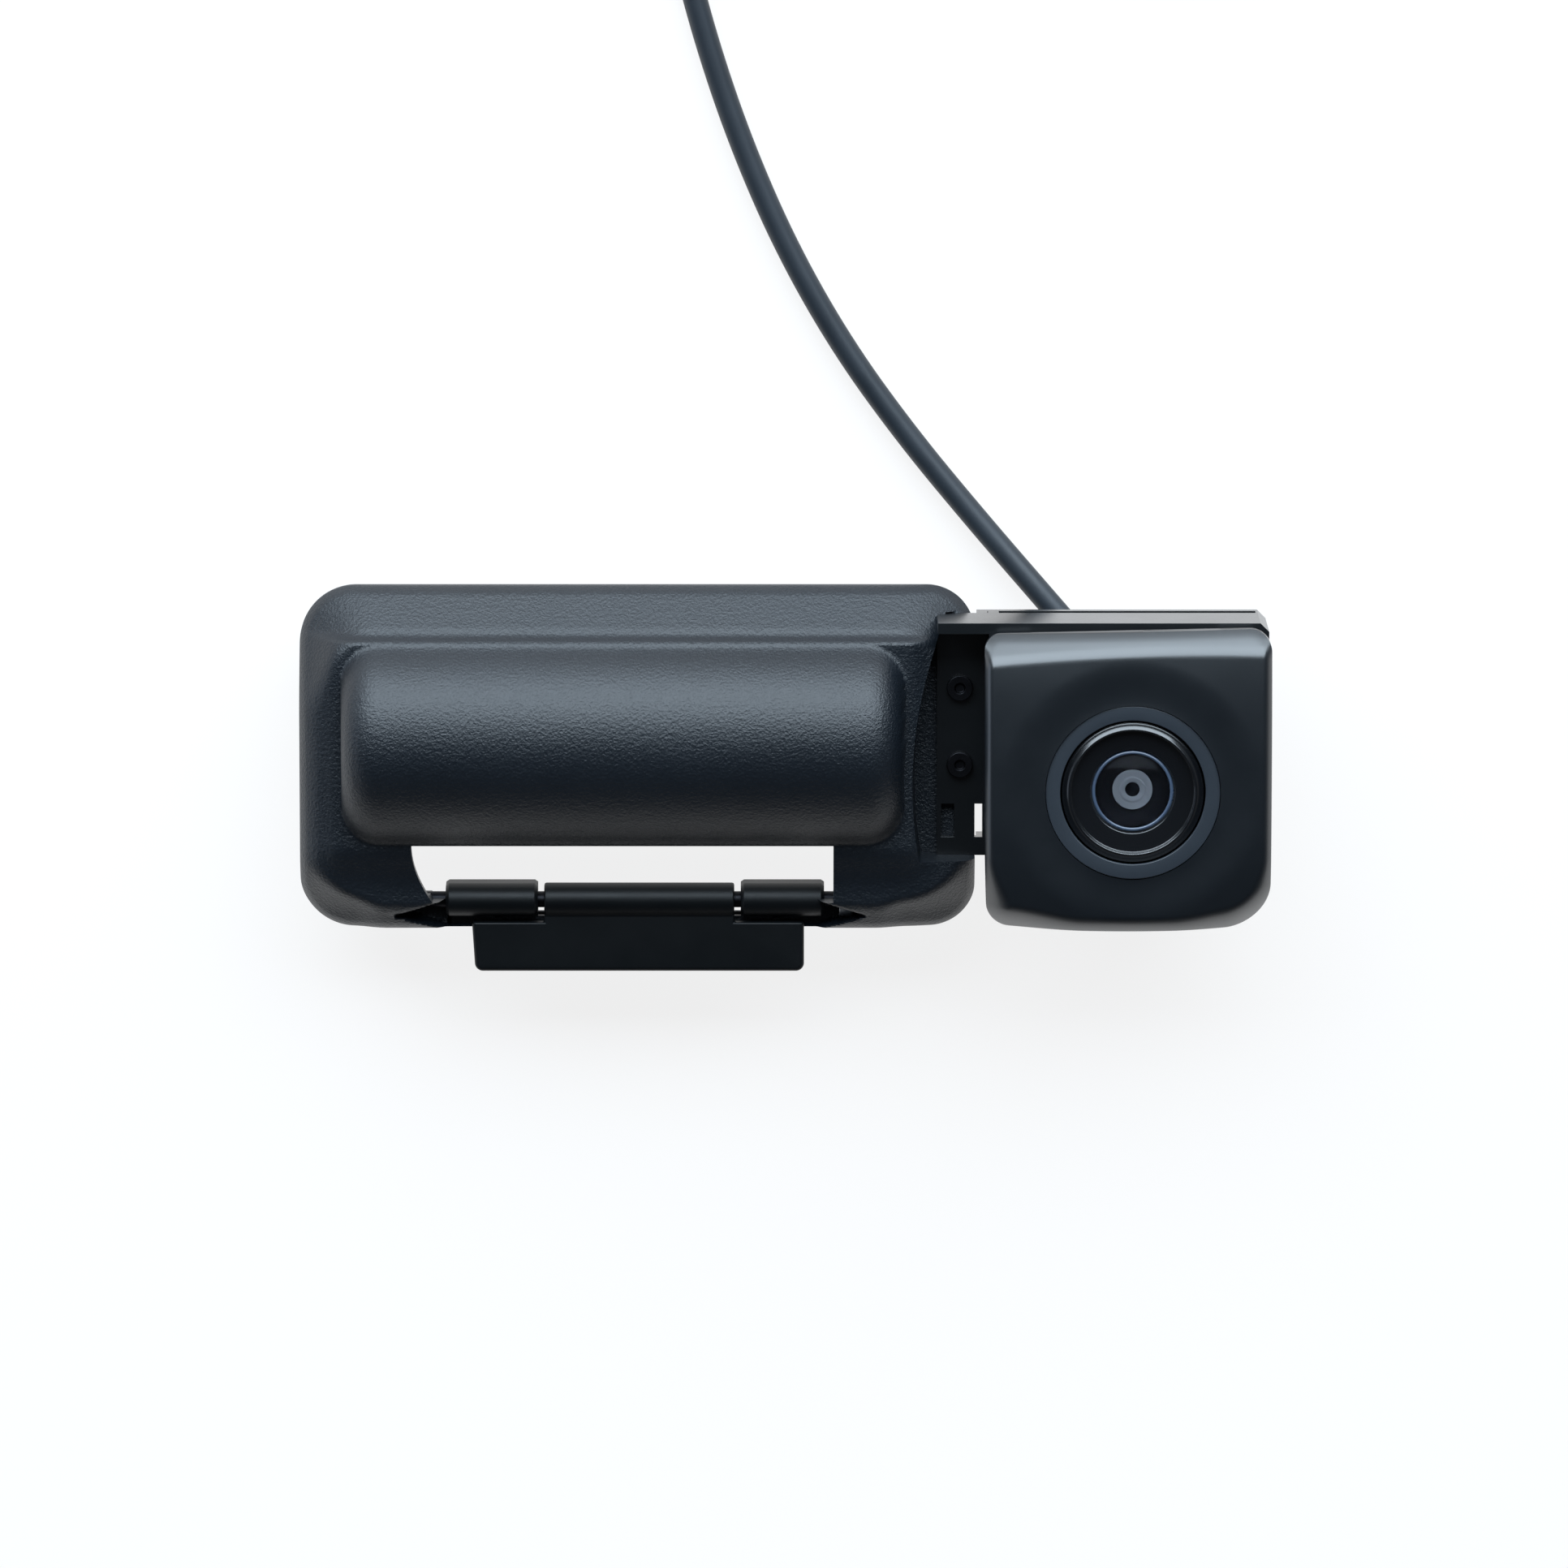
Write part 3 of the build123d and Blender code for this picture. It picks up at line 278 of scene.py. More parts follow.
def satin(name, color, roughness, depth=0.012, coat=0.0, specular=0.5):
    """Smooth satin moulding with handling marks in its gloss."""
    finish = Finish(
        name, color, roughness, Coat_Weight=coat, Coat_Roughness=0.25, Specular_IOR_Level=specular
    )
    fine = finish.noise(0.35, 2.0)
    smear = finish.noise(14.0, 3.0, 0.65)
    finish.tint(smear, 0.9, 1.12)
    finish.put("Roughness", smear * 0.12 + fine * 0.06 + (roughness - 0.09))
    finish.relief(fine, depth)
    return finish.material


def metal(name, color, roughness, streak=0.18):
    """Plated or drawn metal with short streaks and dull spots."""
    finish = Finish(name, color, roughness, metallic=1.0)
    fine = finish.noise(streak, 4.0)
    spots = finish.noise(3.2, 3.0)
    finish.tint(spots, 0.8, 1.1)
    finish.put("Roughness", fine * 0.16 + spots * 0.12 + (roughness - 0.12))
    finish.relief(fine, 0.01)
    return finish.material


def rubbery(name, color, roughness, grain=0.3, depth=0.02):
    """Matt rubber or soft PVC with a dusty bloom."""
    finish = Finish(name, color, roughness)
    fine = finish.noise(grain, 2.0)
    bloom = finish.noise(9.0, 4.0, 0.6)
    finish.tint(bloom, 0.82, 1.25)
    finish.put("Roughness", bloom * 0.14 + (roughness - 0.07))
    finish.relief(fine, depth)
    return finish.material


def circuit(name, color):
    """Solder mask over copper tracks: a cell pattern lifts the tracks and lightens them."""
    finish = Finish(name, color, 0.35, Coat_Weight=0.5, Coat_Roughness=0.15)
    tracks = finish.cells(2.2, "DISTANCE_TO_EDGE")
    line = finish.add("ShaderNodeValToRGB", {"stops": [(0.05, 1.0), (0.09, 0.0)]}, {0: tracks})
    finish.tint(line, 0.8, 1.9)
    finish.relief(line, 0.03)
    return finish.material


def glassy(name):
    """Coated optical glass with a faint blue bloom and dust in its gloss."""
    finish = Finish(
        name, (0.90, 0.93, 1.0), 0.02, IOR=1.12, Transmission_Weight=1.0, Specular_IOR_Level=0.05
    )
    dust = finish.noise(0.6, 3.0, 0.7)
    finish.put("Roughness", (dust ** 6.0) * 0.5 + 0.01)
    return finish.material


finishes = {
    "grained_black": grained("grained_black", (0.0044, 0.0068, 0.0102), 0.39, 0.6, 0.10),
    "satin_black": satin("satin_black", (0.0018, 0.0028, 0.0038), 0.32, coat=0.6),
    "head_black": satin("head_black", (0.0032, 0.0048, 0.0068), 0.36, 0.006, coat=0.75),
    "gloss_black": satin("gloss_black", (0.003, 0.0035, 0.0045), 0.18, 0.002, coat=0.6),
    "trim_grey": satin("trim_grey", (0.018, 0.023, 0.030), 0.42, 0.006),
    "lens_glass": glassy("lens_glass"),
    "barrel_alloy": satin("barrel_alloy", (0.02, 0.02, 0.023), 0.45),
    "aperture_grey": satin("aperture_grey", (0.132, 0.132, 0.130), 0.42, 0.004),
    "sensor_chip": satin("sensor_chip", (0.015, 0.015, 0.02), 0.3, 0.006),
    "circuit_board": circuit("circuit_board", (0.01, 0.07, 0.03)),
    "contact_brass": metal("contact_brass", (0.78, 0.60, 0.28), 0.3),
    "zinc_steel": metal("zinc_steel", (0.56, 0.57, 0.58), 0.36),
    "spring_steel": metal("spring_steel", (0.36, 0.36, 0.38), 0.32),
    "black_steel": metal("black_steel", (0.02, 0.02, 0.023), 0.42),
    "washer_nylon": satin("washer_nylon", (0.62, 0.61, 0.56), 0.45),
    "soft_rubber": rubbery("soft_rubber", (0.010, 0.0105, 0.012), 0.62),
    "seal_foam": rubbery("seal_foam", (0.022, 0.023, 0.025), 0.8, 0.5, 0.05),
    "seal_orange": rubbery("seal_orange", (0.50, 0.15, 0.03), 0.45),
    "cable_jacket": rubbery("cable_jacket", (0.012, 0.0165, 0.0225), 0.48, 0.25, 0.01),
    "tie_strap": satin("tie_strap", (0.012, 0.012, 0.014), 0.4),
    "plug_plastic": satin("plug_plastic", (0.014, 0.016, 0.019), 0.42),
}
# A light blue finish for the ring round the front glass: a painted reflection, standing in for the bluish
# light that the glass edge reflects.
painted_reflection_blue = satin("painted_reflection_blue", (0.045, 0.066, 0.105), 0.28, 0.002, coat=0.4)
# A matt black, darker than the bezel's plastic: on the paddle it is the paddle's own matt finish; on the
# fixed knuckles it is painted shade of the notch they sit in.
painted_shade_matt_black = satin("painted_shade_matt_black", (0.0008, 0.0016, 0.0024), 0.46, 0.010, specular=0.30)

slot_of = {row["node"]: row["material_slot"] for row in frame["record"]["subparts"]}
for node, piece in frame["nodes"].items():
    piece.data.materials.clear()
    piece.data.materials.append(finishes[slot_of[node]])

# ---------------------------------------------------------------- camera, floor and light
view_tilt = math.radians(9.0)
view_distance = 2.2
view_width = 0.2898
aim = Vector((0.0, -0.0013, 0.018))
camera_data = bpy.data.cameras.new("camera")
camera_data.sensor_width = 36.0
camera_data.lens = 36.0 * view_distance / view_width
camera_data.clip_end = 20.0
camera = bpy.data.objects.new("camera", camera_data)
camera.location = aim + view_distance * Vector((0.0, math.sin(view_tilt), math.cos(view_tilt)))
camera.rotation_euler = (-view_tilt, 0.0, 0.0)
bpy.context.scene.collection.objects.link(camera)
bpy.context.scene.camera = camera

floor_mesh = bpy.data.meshes.new("floor")
floor_half = 6.0
floor_mesh.from_pydata(
    [(-floor_half, -floor_half, 0), (floor_half, -floor_half, 0), (floor_half, floor_half, 0),
     (-floor_half, floor_half, 0)], [], [(0, 1, 2, 3)]
)
floor = bpy.data.objects.new("floor", floor_mesh)
bpy.context.scene.collection.objects.link(floor)
paper = Finish("paper", (0.12, 0.12, 0.12), 0.9, Emission_Strength=0.84)
paper.put("Emission Color", (1.0, 1.0, 1.0, 1.0))
paper.tint(paper.noise(60.0, 2.0), 0.995, 1.005)
floor_mesh.materials.append(paper.material)


def soft_light(name, place, size, power, color, aim_at=(0.0, 0.0, 0.02)):
    """A rectangular area light at place, turned towards a point."""
    data = bpy.data.lights.new(name, "AREA")
    data.shape = "RECTANGLE"
    data.size, data.size_y = size
    data.energy = power
    data.color = color
    lamp = bpy.data.objects.new(name, data)
    lamp.location = place
    lamp.rotation_euler = (Vector(aim_at) - Vector(place)).to_track_quat("-Z", "Y").to_euler()
    bpy.context.scene.collection.objects.link(lamp)


soft_light("key", (0.0, 1.08, 0.80), (2.4, 1.3), 76.0, (0.76, 0.89, 1.0))
soft_light("left", (-1.3, 0.1, 0.25), (0.9, 0.4), 1.8, (0.66, 0.80, 1.0))

world = bpy.data.worlds.new("studio")
world.use_nodes = True
bpy.context.scene.world = world
sky_nodes, sky_links = world.node_tree.nodes, world.node_tree.links
direction = sky_nodes.new("ShaderNodeTexCoord")
height = sky_nodes.new("ShaderNodeSeparateXYZ")
shade = sky_nodes.new("ShaderNodeValToRGB")
shade.color_ramp.elements[0].position = 0.0
shade.color_ramp.elements[0].color = (0.30, 0.315, 0.33, 1.0)
shade.color_ramp.elements[1].position = 0.5
shade.color_ramp.elements[1].color = (0.035, 0.038, 0.043, 1.0)
sky_links.new(direction.outputs["Generated"], height.inputs[0])
sky_links.new(height.outputs["Z"], shade.inputs[0])
sky_links.new(shade.outputs[0], sky_nodes["Background"].inputs["Color"])
sky_nodes["Background"].inputs["Strength"].default_value = 1.0
bpy.context.scene.view_settings.view_transform = "Standard"

# ---------------------------------------------------------------- cable
cable_diameter = 4.5
outlet_exit = np.array([70.49, 6.0, 7.0])
cable_route = [
    (73.1, 2.96, 7.0),
    (61.4, 16.6, 7.0),
    (49.5, 30.2, 5.2),
    (36.4, 45.1, 2.8),
    (22.9, 61.4, 2.3),
    (10.8, 78.2, 2.3),
    (0.4, 96.6, 2.3),
    (-8.0, 116.0, 2.3),
    (-14.6, 135.6, 2.3),
    (-19.4, 154.4, 2.4),
    (-22.2, 171.0, 2.6),
    (-23.3, 184.0, 2.9),
]
tail_route = [
    (31.5, 188.3, 6.6),
    (39.5, 176.6, 3.4),
    (48.5, 167.2, 4.4),
    (60.5, 162.8, 4.4),
]
coil_centre = (4.0, 184.0)
coil_outer, coil_inner, coil_top = 27.3, 22.7, 25.0
coil_floor_z, coil_top_z = 2.9, 6.9
coil_sweep = 865.0
coil_steps = 36


def eased(value, start, end):
    """0 before start, 1 after end, and a smooth step between."""
    t = np.clip((value - start) / (end - start), 0.0, 1.0)
    return t * t * (3 - 2 * t)


def coil_points():
    """The rolled-up turns: one outside on the floor, one inside it, and the last part on top of both."""
    step = coil_sweep / coil_steps
    turned = np.arange(1, coil_steps + 1) * step
    radius = coil_outer + (coil_inner - coil_outer) * eased(turned, 285, 365)
    radius = radius + (coil_top - coil_inner) * eased(turned, 680, 760)
    height = coil_floor_z + (coil_top_z - coil_floor_z) * eased(turned, 600, 680)
    angle = np.radians(180.0 - turned)
    reach = radius / math.cos(math.radians(step / 2))
    return [
        (coil_centre[0] + r * math.cos(a), coil_centre[1] + r * math.sin(a), z)
        for r, a, z in zip(reach, angle, height)
    ]


def cable_curve():
    """The whole cable as one round NURBS curve: to the coil, round it and on to the plug."""
    points = cable_route + coil_points() + tail_route
    data = bpy.data.curves.new("cable", "CURVE")
    data.dimensions = "3D"
    spline = data.splines.new("NURBS")
    spline.points.add(len(points) - 1)
    for point, place in zip(spline.points, points):
        point.co = (*(c * MM for c in place), 1.0)
    spline.order_u = 3
    spline.use_endpoint_u = True
    spline.resolution_u = 8
    data.bevel_depth = cable_diameter / 2 * MM
    data.bevel_resolution = 6
    data.use_fill_caps = True
    cable = bpy.data.objects.new("cable", data)
    bpy.context.scene.collection.objects.link(cable)
    data.materials.append(finishes["cable_jacket"])
    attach(cable, "mount")
    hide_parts("camera_cable", "cable_coil", "cable_tail")
    return cable


cable = cable_curve()


# ---------------------------------------------------------------- shapes along a line
def turned_along(name, start, run, profile, body, slot, turns=40, ribs=0, rib_depth=0.0, rib_span=(0, 0)):
    """A (distance, radius) profile turned about the line from start along run.

    With ribs, the radius within rib_span dips by rib_depth times half of 1 + cos(ribs * angle).
    """
    run = np.asarray(run, float) / np.linalg.norm(run)
    across = np.cross(run, (0.0, 0.0, 1.0))
    across = across / np.linalg.norm(across)
    other = np.cross(run, across)
    profile = np.asarray(profile, float)
    angle = np.linspace(0, 2 * np.pi, turns, endpoint=False)
    distance, radius = profile[:, 0][:, None], profile[:, 1][:, None]
    inside = (distance >= rib_span[0]) & (distance <= rib_span[1])
    dip = 0.5 + 0.5 * np.cos(ribs * angle) if ribs else 0 * angle
    radius = radius - rib_depth * inside * dip
    points = (
        np.asarray(start, float)
        + distance[..., None] * run
        + radius[..., None] * (np.cos(angle)[None, :, None] * across + np.sin(angle)[None, :, None] * other)
    ).reshape(-1, 3)
    faces = grid_faces(len(profile), turns, flip=True, wrap=True).tolist()
    last = (len(profile) - 1) * turns
    faces.append(tuple(range(turns)))
    faces.append(tuple(last + i for i in reversed(range(turns))))
    return new_object(name, points, faces, body, slot)


exit_run = np.array(cable_route[1]) - np.array(cable_route[0])
relief_steps = np.linspace(0, 20.0, 41)
relief_radius = 3.9 - 0.9 * relief_steps / 20.0
groove = ((relief_steps % 3.0) > 1.6) & (relief_steps > 3.0) & (relief_steps < 18.0)
relief = turned_along(
    "boot", outlet_exit, exit_run, np.stack([relief_steps, relief_radius - 0.55 * groove], axis=1),
    "mount", "soft_rubber",
)
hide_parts("strain_relief")

plug_start = np.array(tail_route[-1])
plug_run = plug_start - np.array(tail_route[-2])
plug_profile = [
    (0, 2.3), (0, 2.75), (0.4, 2.95), (1.6, 3.0), (1.8, 2.7), (2.6, 2.7), (2.8, 3.3), (3.8, 3.4), (4.0, 3.0),
    (4.8, 3.0), (5.0, 3.7), (6.0, 3.9), (6.1, 4.1), (6.5, 4.35), (7.0, 4.4), (9.0, 4.4), (11.0, 4.4),
    (13.0, 4.4), (15.0, 4.4), (15.4, 4.1), (16.0, 4.1), (16.4, 4.4), (17.6, 4.4), (18.0, 4.15), (18.0, 3.4),
    (24.7, 3.4), (25.0, 3.2), (25.0, 2.8), (24.8, 2.7), (19.2, 2.7), (19.0, 2.6),
]
plug = turned_along(
    "plug_shell", plug_start, plug_run, plug_profile, "mount", "plug_plastic", 72, 18, 0.28, (7.0, 15.0)
)
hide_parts("plug_body")
plug_pins = dressed("plug_pins", "mount", "contact_brass", edge=0.08)
plug_seal = dressed("plug_seal", "mount", "seal_orange", edge=0.2)
coil_tie = dressed("coil_tie", "mount", "tie_strap", edge=0.15)


# ---------------------------------------------------------------- rounded outlines
def corner_centres(low, high, radii):
    """Centre, radius and outward signs of each rounded corner."""
    for (side_x, side_y), radius in radii.items():
        corner = (high[0] if side_x > 0 else low[0], high[1] if side_y > 0 else low[1])
        yield corner[0] - side_x * radius, corner[1] - side_y * radius, radius, side_x, side_y


def inset_from(x, y, low, high, radii):
    """Distance in from the rounded rectangle's outline, positive inside."""
    distance = np.minimum(np.minimum(x - low[0], high[0] - x), np.minimum(y - low[1], high[1] - y))
    for cx, cy, radius, side_x, side_y in corner_centres(low, high, radii):
        beyond = ((x - cx) * side_x > 0) & ((y - cy) * side_y > 0)
        distance = np.where(beyond, radius - np.hypot(x - cx, y - cy), distance)
    return distance


def rounded_plan(x, y, low, high, radii):
    """Pull a rectangular grid's corners onto arcs: u * sqrt(1 - v * v / 2) in each corner square."""
    out_x, out_y = x.copy(), y.copy()
    for cx, cy, radius, side_x, side_y in corner_centres(low, high, radii):
        u = (x - cx) * side_x / radius
        v = (y - cy) * side_y / radius
        inside = (u > 0) & (v > 0)
        out_x = np.where(inside, cx + side_x * radius * u * np.sqrt(np.clip(1 - v * v / 2, 0, 1)), out_x)
        out_y = np.where(inside, cy + side_y * radius * v * np.sqrt(np.clip(1 - u * u / 2, 0, 1)), out_y)
    return out_x, out_y


def blended_high(first, second, width):
    """The higher of two heights, with a fillet of the given width where they cross."""
    share = np.clip(0.5 + 0.5 * (first - second) / width, 0, 1)
    return second + (first - second) * share + width * share * (1 - share)


def stations(*stretches):
    """Grid lines over joined stretches, each (end, spacing) after the first position."""
    lines = [stretches[0]]
    for end, spacing in stretches[1:]:
        count = max(1, int(round((end - lines[-1]) / spacing)))
        lines.extend(np.linspace(lines[-1], end, count + 1)[1:])
    return np.array(lines)


# ---------------------------------------------------------------- bezel
bezel_low, bezel_high = span("handle_bezel")
back_z = bezel_low[2]
face_z = back_z + 11.0
crown_z = bezel_high[2]
bezel_wall = 2.4
lip_wall = 1.6
bezel_corners = {(-1, -1): 9.5, (-1, 1): 10.5, (1, -1): 8.0, (1, 1): 9.0}
band_corners = dict.fromkeys(bezel_corners, 14.0)
side_band, top_band, low_band, corner_band = 2.6, 5.2, 2.4, 2.0
band_blend = 1.5
rim_width, rim_drop = 1.5, 1.2

roll_radius = 19.4
roll_y = 7.75
roll_z = crown_z - roll_radius
roll_left = bezel_low[0] + 7.9
roll_right = roll_left + 103.4
roll_end = 7.0
roll_blend = 2.4
skirt_height = 2.4
skirt_beside, skirt_below, skirt_above = 4.2, 5.5, 0.8

slot_left, slot_right = -68.6, 9.1
slot_top, slot_low = -11.0, -22.0
slot_lean = 3.8
pin_y, pin_z = -22.5, 20.3
turning_left, turning_right = -45.5, -8.0
turning_low = -25.9

notch_z = back_z + 2.0
notch_y = -24.85
notch_middle = (slot_left + slot_right) / 2 + 1.5
notch_half = 43.05
notch_taper, notch_depth = 8.7, 3.1

shelf_z = back_z + 3.2
recess_edge, recess_low, recess_high = 23.6, -14.3, 31.2
recess_bow = 5.0


def bezel_heights(x, y, recess):
    """Height of the bezel's face over its plan.

    A flat face falls at 45 degrees within a band inside the outline: widest along the top, narrow at
    the sides, and wider again below, most of all past the notch's ends. The roll is a cylinder along X
    with round ends, standing in a skirt that fades as exp(-distance squared). The recess is cut down to
    the shelf, and the notch in the lower rim fades to a point at both ends.
    """
    inset = inset_from(x, y, bezel_low, bezel_high, bezel_corners)
    past_notch = eased(np.abs(x - notch_middle), notch_half + 2.0, notch_half + 8.0)
    below_slot = eased(-y, 13.5, 25.0)
    band = side_band + top_band * eased(y, 12.0, 30.0) + (low_band + corner_band * past_notch) * below_slot
    soft_inset = inset_from(x, y, bezel_low, bezel_high, band_corners)
    flat = face_z - blended_high(band - soft_inset, np.zeros_like(x), band_blend)
    flat = flat - rim_drop * np.clip(1 - inset / rim_width, 0, 1) ** 2
    half = math.sqrt(roll_radius**2 - (face_z - roll_z) ** 2)
    beside = np.clip(np.maximum(roll_left - x, x - roll_right), 0, None) / skirt_beside
    below = np.clip(roll_y - half - y, 0, None) / skirt_below
    above = np.clip(y - roll_y - half, 0, None) / skirt_above
    skirt = skirt_height * np.exp(-(beside**2) - below**2 - above**2)
    along = np.minimum(x - roll_left, roll_right - x)
    tuck = np.sqrt(np.clip(roll_end**2 - (roll_end - np.clip(along, 0, roll_end)) ** 2, 0, None))
    reach = roll_radius - roll_end + tuck
    bulge = roll_z + np.sqrt(np.clip(reach**2 - (y - roll_y) ** 2, 0, None))
    bulge = np.where((along > 0) & (np.abs(y - roll_y) < reach), bulge, back_z - 5)
    top = blended_high(flat + skirt, bulge, roll_blend)
    top = np.where(recess, shelf_z, top)
    taper = np.clip((notch_half - np.abs(x - notch_middle)) / notch_taper, -1, 1)
    notch = eased(notch_depth * taper - np.abs(y - notch_y), -0.35, 0.75)
    return top + (notch_z - top) * notch


def bezel_shell():
    """The bezel: face and hollow as two height fields on one plan grid.

    Walls join them round the outline, the slot and the opening that the paddle turns in.
    """
    xs = stations(
        bezel_low[0], (-86.4, 0.24), (-78.8, 0.38), (-72.5, 0.9), (slot_left, 0.45), (-62.0, 0.45),
        (turning_left, 1.4), (turning_right, 1.5), (4.0, 1.2), (slot_right, 0.45), (15.5, 0.45),
        (recess_edge, 0.5), (31.0, 0.5), (bezel_high[0], 0.28),
    )
    ys = stations(
        bezel_low[1], (turning_low, 0.26), (slot_low, 0.3), (recess_low, 0.5), (slot_top, 0.5), (-7.5, 0.4),
        (24.0, 0.55), (recess_high, 0.34), (bezel_high[1], 0.3),
    )
    grid_x, grid_y = np.meshgrid(xs, ys, indexing="ij")
    x, y = rounded_plan(grid_x, grid_y, bezel_low, bezel_high, bezel_corners)
    # The slot's left end curves inwards towards the bottom.
    down = np.clip((slot_top - grid_y) / (slot_top - slot_low), 0, 1.3)
    x = x + slot_lean * down**2 * np.exp(-(((grid_x - slot_left) / 4.0) ** 2))
    # The recess's left wall bows to the left: lines near it lean right above and below its middle.
    inside = eased(inset_from(x, y, bezel_low, bezel_high, bezel_corners), 0.0, 4.0)
    lean_right = np.clip((bezel_high[0] - grid_x) / (bezel_high[0] - recess_edge), 0, 1)
    lean_left = np.clip((grid_x - recess_edge + 11.0) / 11.0, 0, 1)
    x = x + recess_bow * (grid_y / 28.0) ** 2 * inside * np.minimum(lean_right, lean_left)
    recess = (grid_x > recess_edge + 0.01) & (grid_y > recess_low + 0.01) & (grid_y < recess_high - 0.01)
    top = bezel_heights(x, y, recess)
    inset = inset_from(x, y, bezel_low, bezel_high, bezel_corners)
    hollow = np.minimum(top - bezel_wall, crown_z)
    over_slot = (grid_x > slot_left) & (grid_x < slot_right)
    lip = over_slot & (grid_y > slot_top - 0.1) & (grid_y < slot_top + 3.0)
    hollow = np.where(lip, top - lip_wall, hollow)
    beside_recess = (y > recess_low - 2.2) & (y < recess_high + 2.3)
    below_slot = (y < slot_low + 0.6) & (x > slot_left - 4) & (x < slot_right + 6)
    solid = (inset < bezel_wall) | ((grid_x > recess_edge - bezel_wall) & beside_recess) | below_slot
    bottom = np.where(solid, back_z, np.maximum(hollow, back_z))
    rows, columns = x.shape
    points = np.concatenate([np.stack([x, y, z], axis=-1).reshape(-1, 3) for z in (top, bottom)])
    mid_x, mid_y = (xs[:-1] + xs[1:])[:, None] / 2, (ys[:-1] + ys[1:])[None, :] / 2
    slot = (mid_x > slot_left) & (mid_x < slot_right) & (mid_y > slot_low) & (mid_y < slot_top)
    turning = (mid_x > turning_left) & (mid_x < turning_right) & (mid_y > turning_low) & (mid_y < slot_top)
    kept = ~(slot | turning)
    face = grid_faces(rows, columns)
    keep = kept.ravel()
    offset = rows * columns
    faces = [face[keep][:, ::-1], face[keep] + offset]
    # Walls round the outline and the openings, wherever a kept cell has no kept neighbour.
    padded = np.pad(kept, 1)
    corner = np.arange(rows * columns).reshape(rows, columns)
    sides = {
        (0, -1): (corner[:-1, :-1], corner[1:, :-1]),
        (1, 0): (corner[1:, :-1], corner[1:, 1:]),
        (0, 1): (corner[1:, 1:], corner[:-1, 1:]),
        (-1, 0): (corner[:-1, 1:], corner[:-1, :-1]),
    }
    for (step_x, step_y), (first, second) in sides.items():
        beyond = padded[1 + step_x: rows + step_x, 1 + step_y: columns + step_y]
        edge = kept & ~beyond
        a, b = first[edge], second[edge]
        faces.append(np.stack([a + offset, b + offset, b, a], axis=-1))
    used = np.concatenate(faces)
    index, compact = np.unique(used, return_inverse=True)
    return points[index], compact.reshape(used.shape)


bezel_points, bezel_faces = bezel_shell()
bezel = new_object("bezel_shell", bezel_points, bezel_faces, "mount", "grained_black", 50.0)
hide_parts("handle_bezel")


def knuckle(name, start, end):
    """A fixed hinge knuckle: a half-round top on straight sides, carried along X, drawn in at its ends."""
    radius = 3.1
    arc = np.linspace(0, np.pi, 19)
    section = np.concatenate([
        np.stack([pin_y + radius * np.cos(arc), pin_z + radius * np.sin(arc)], axis=1),
        [[pin_y - radius, back_z], [pin_y + radius, back_z]],
    ])
    edge = 0.6
    where = np.array([start, start + edge, end - edge, end])
    shrink = np.array([edge, 0.0, 0.0, edge])
    middle = section.mean(axis=0)
    reach = np.linalg.norm(section - middle, axis=1, keepdims=True)
    rings = [
        np.column_stack([np.full(len(section), x), section - (section - middle) / reach * inward])
        for x, inward in zip(where, shrink)
    ]
    points = np.concatenate(rings)
    count = len(section)
    faces = grid_faces(len(where), count, wrap=True).tolist()
    last = (len(where) - 1) * count
    faces.append(tuple(reversed(range(count))))
    faces.append(tuple(last + i for i in range(count)))
    piece = new_object(name, points, faces, "mount", "grained_black", 40.0)
    # The knuckles belong to the bezel's plastic but take the darker matt black: painted shade of the notch
    # they sit in.
    piece.data.materials[0] = painted_shade_matt_black


knuckle("knuckle_left", -62.5, turning_left)
knuckle("knuckle_right", turning_right, 7.4)

# ---------------------------------------------------------------- camera head
head_low, head_high = span("head_housing")
head_face = head_high[2]
front_back = head_face - 8.3
lens_low, lens_high = span("lens_trim_ring")
lens_centre = ((lens_low[0] + lens_high[0]) / 2, (lens_low[1] + lens_high[1]) / 2)
trim_outer, trim_inner = 16.0, 13.3
seat_z = head_face - 4.0
head_corners = {(-1, -1): 4.2, (-1, 1): 3.0, (1, -1): 8.5, (1, 1): 4.0}
head_middle = (head_low[:2] + head_high[:2]) / 2
head_half = (head_high[:2] - head_low[:2]) / 2
side_crown, end_crown = 0.9, 2.5
dish_depth, dish_radius, dish_slope_width = 0.9, 24.5, 8.4
edge_round, low_edge_round, edge_fall = 1.9, 4.6, 0.7
bevel_high, bevel_slope = 3.5, 0.72


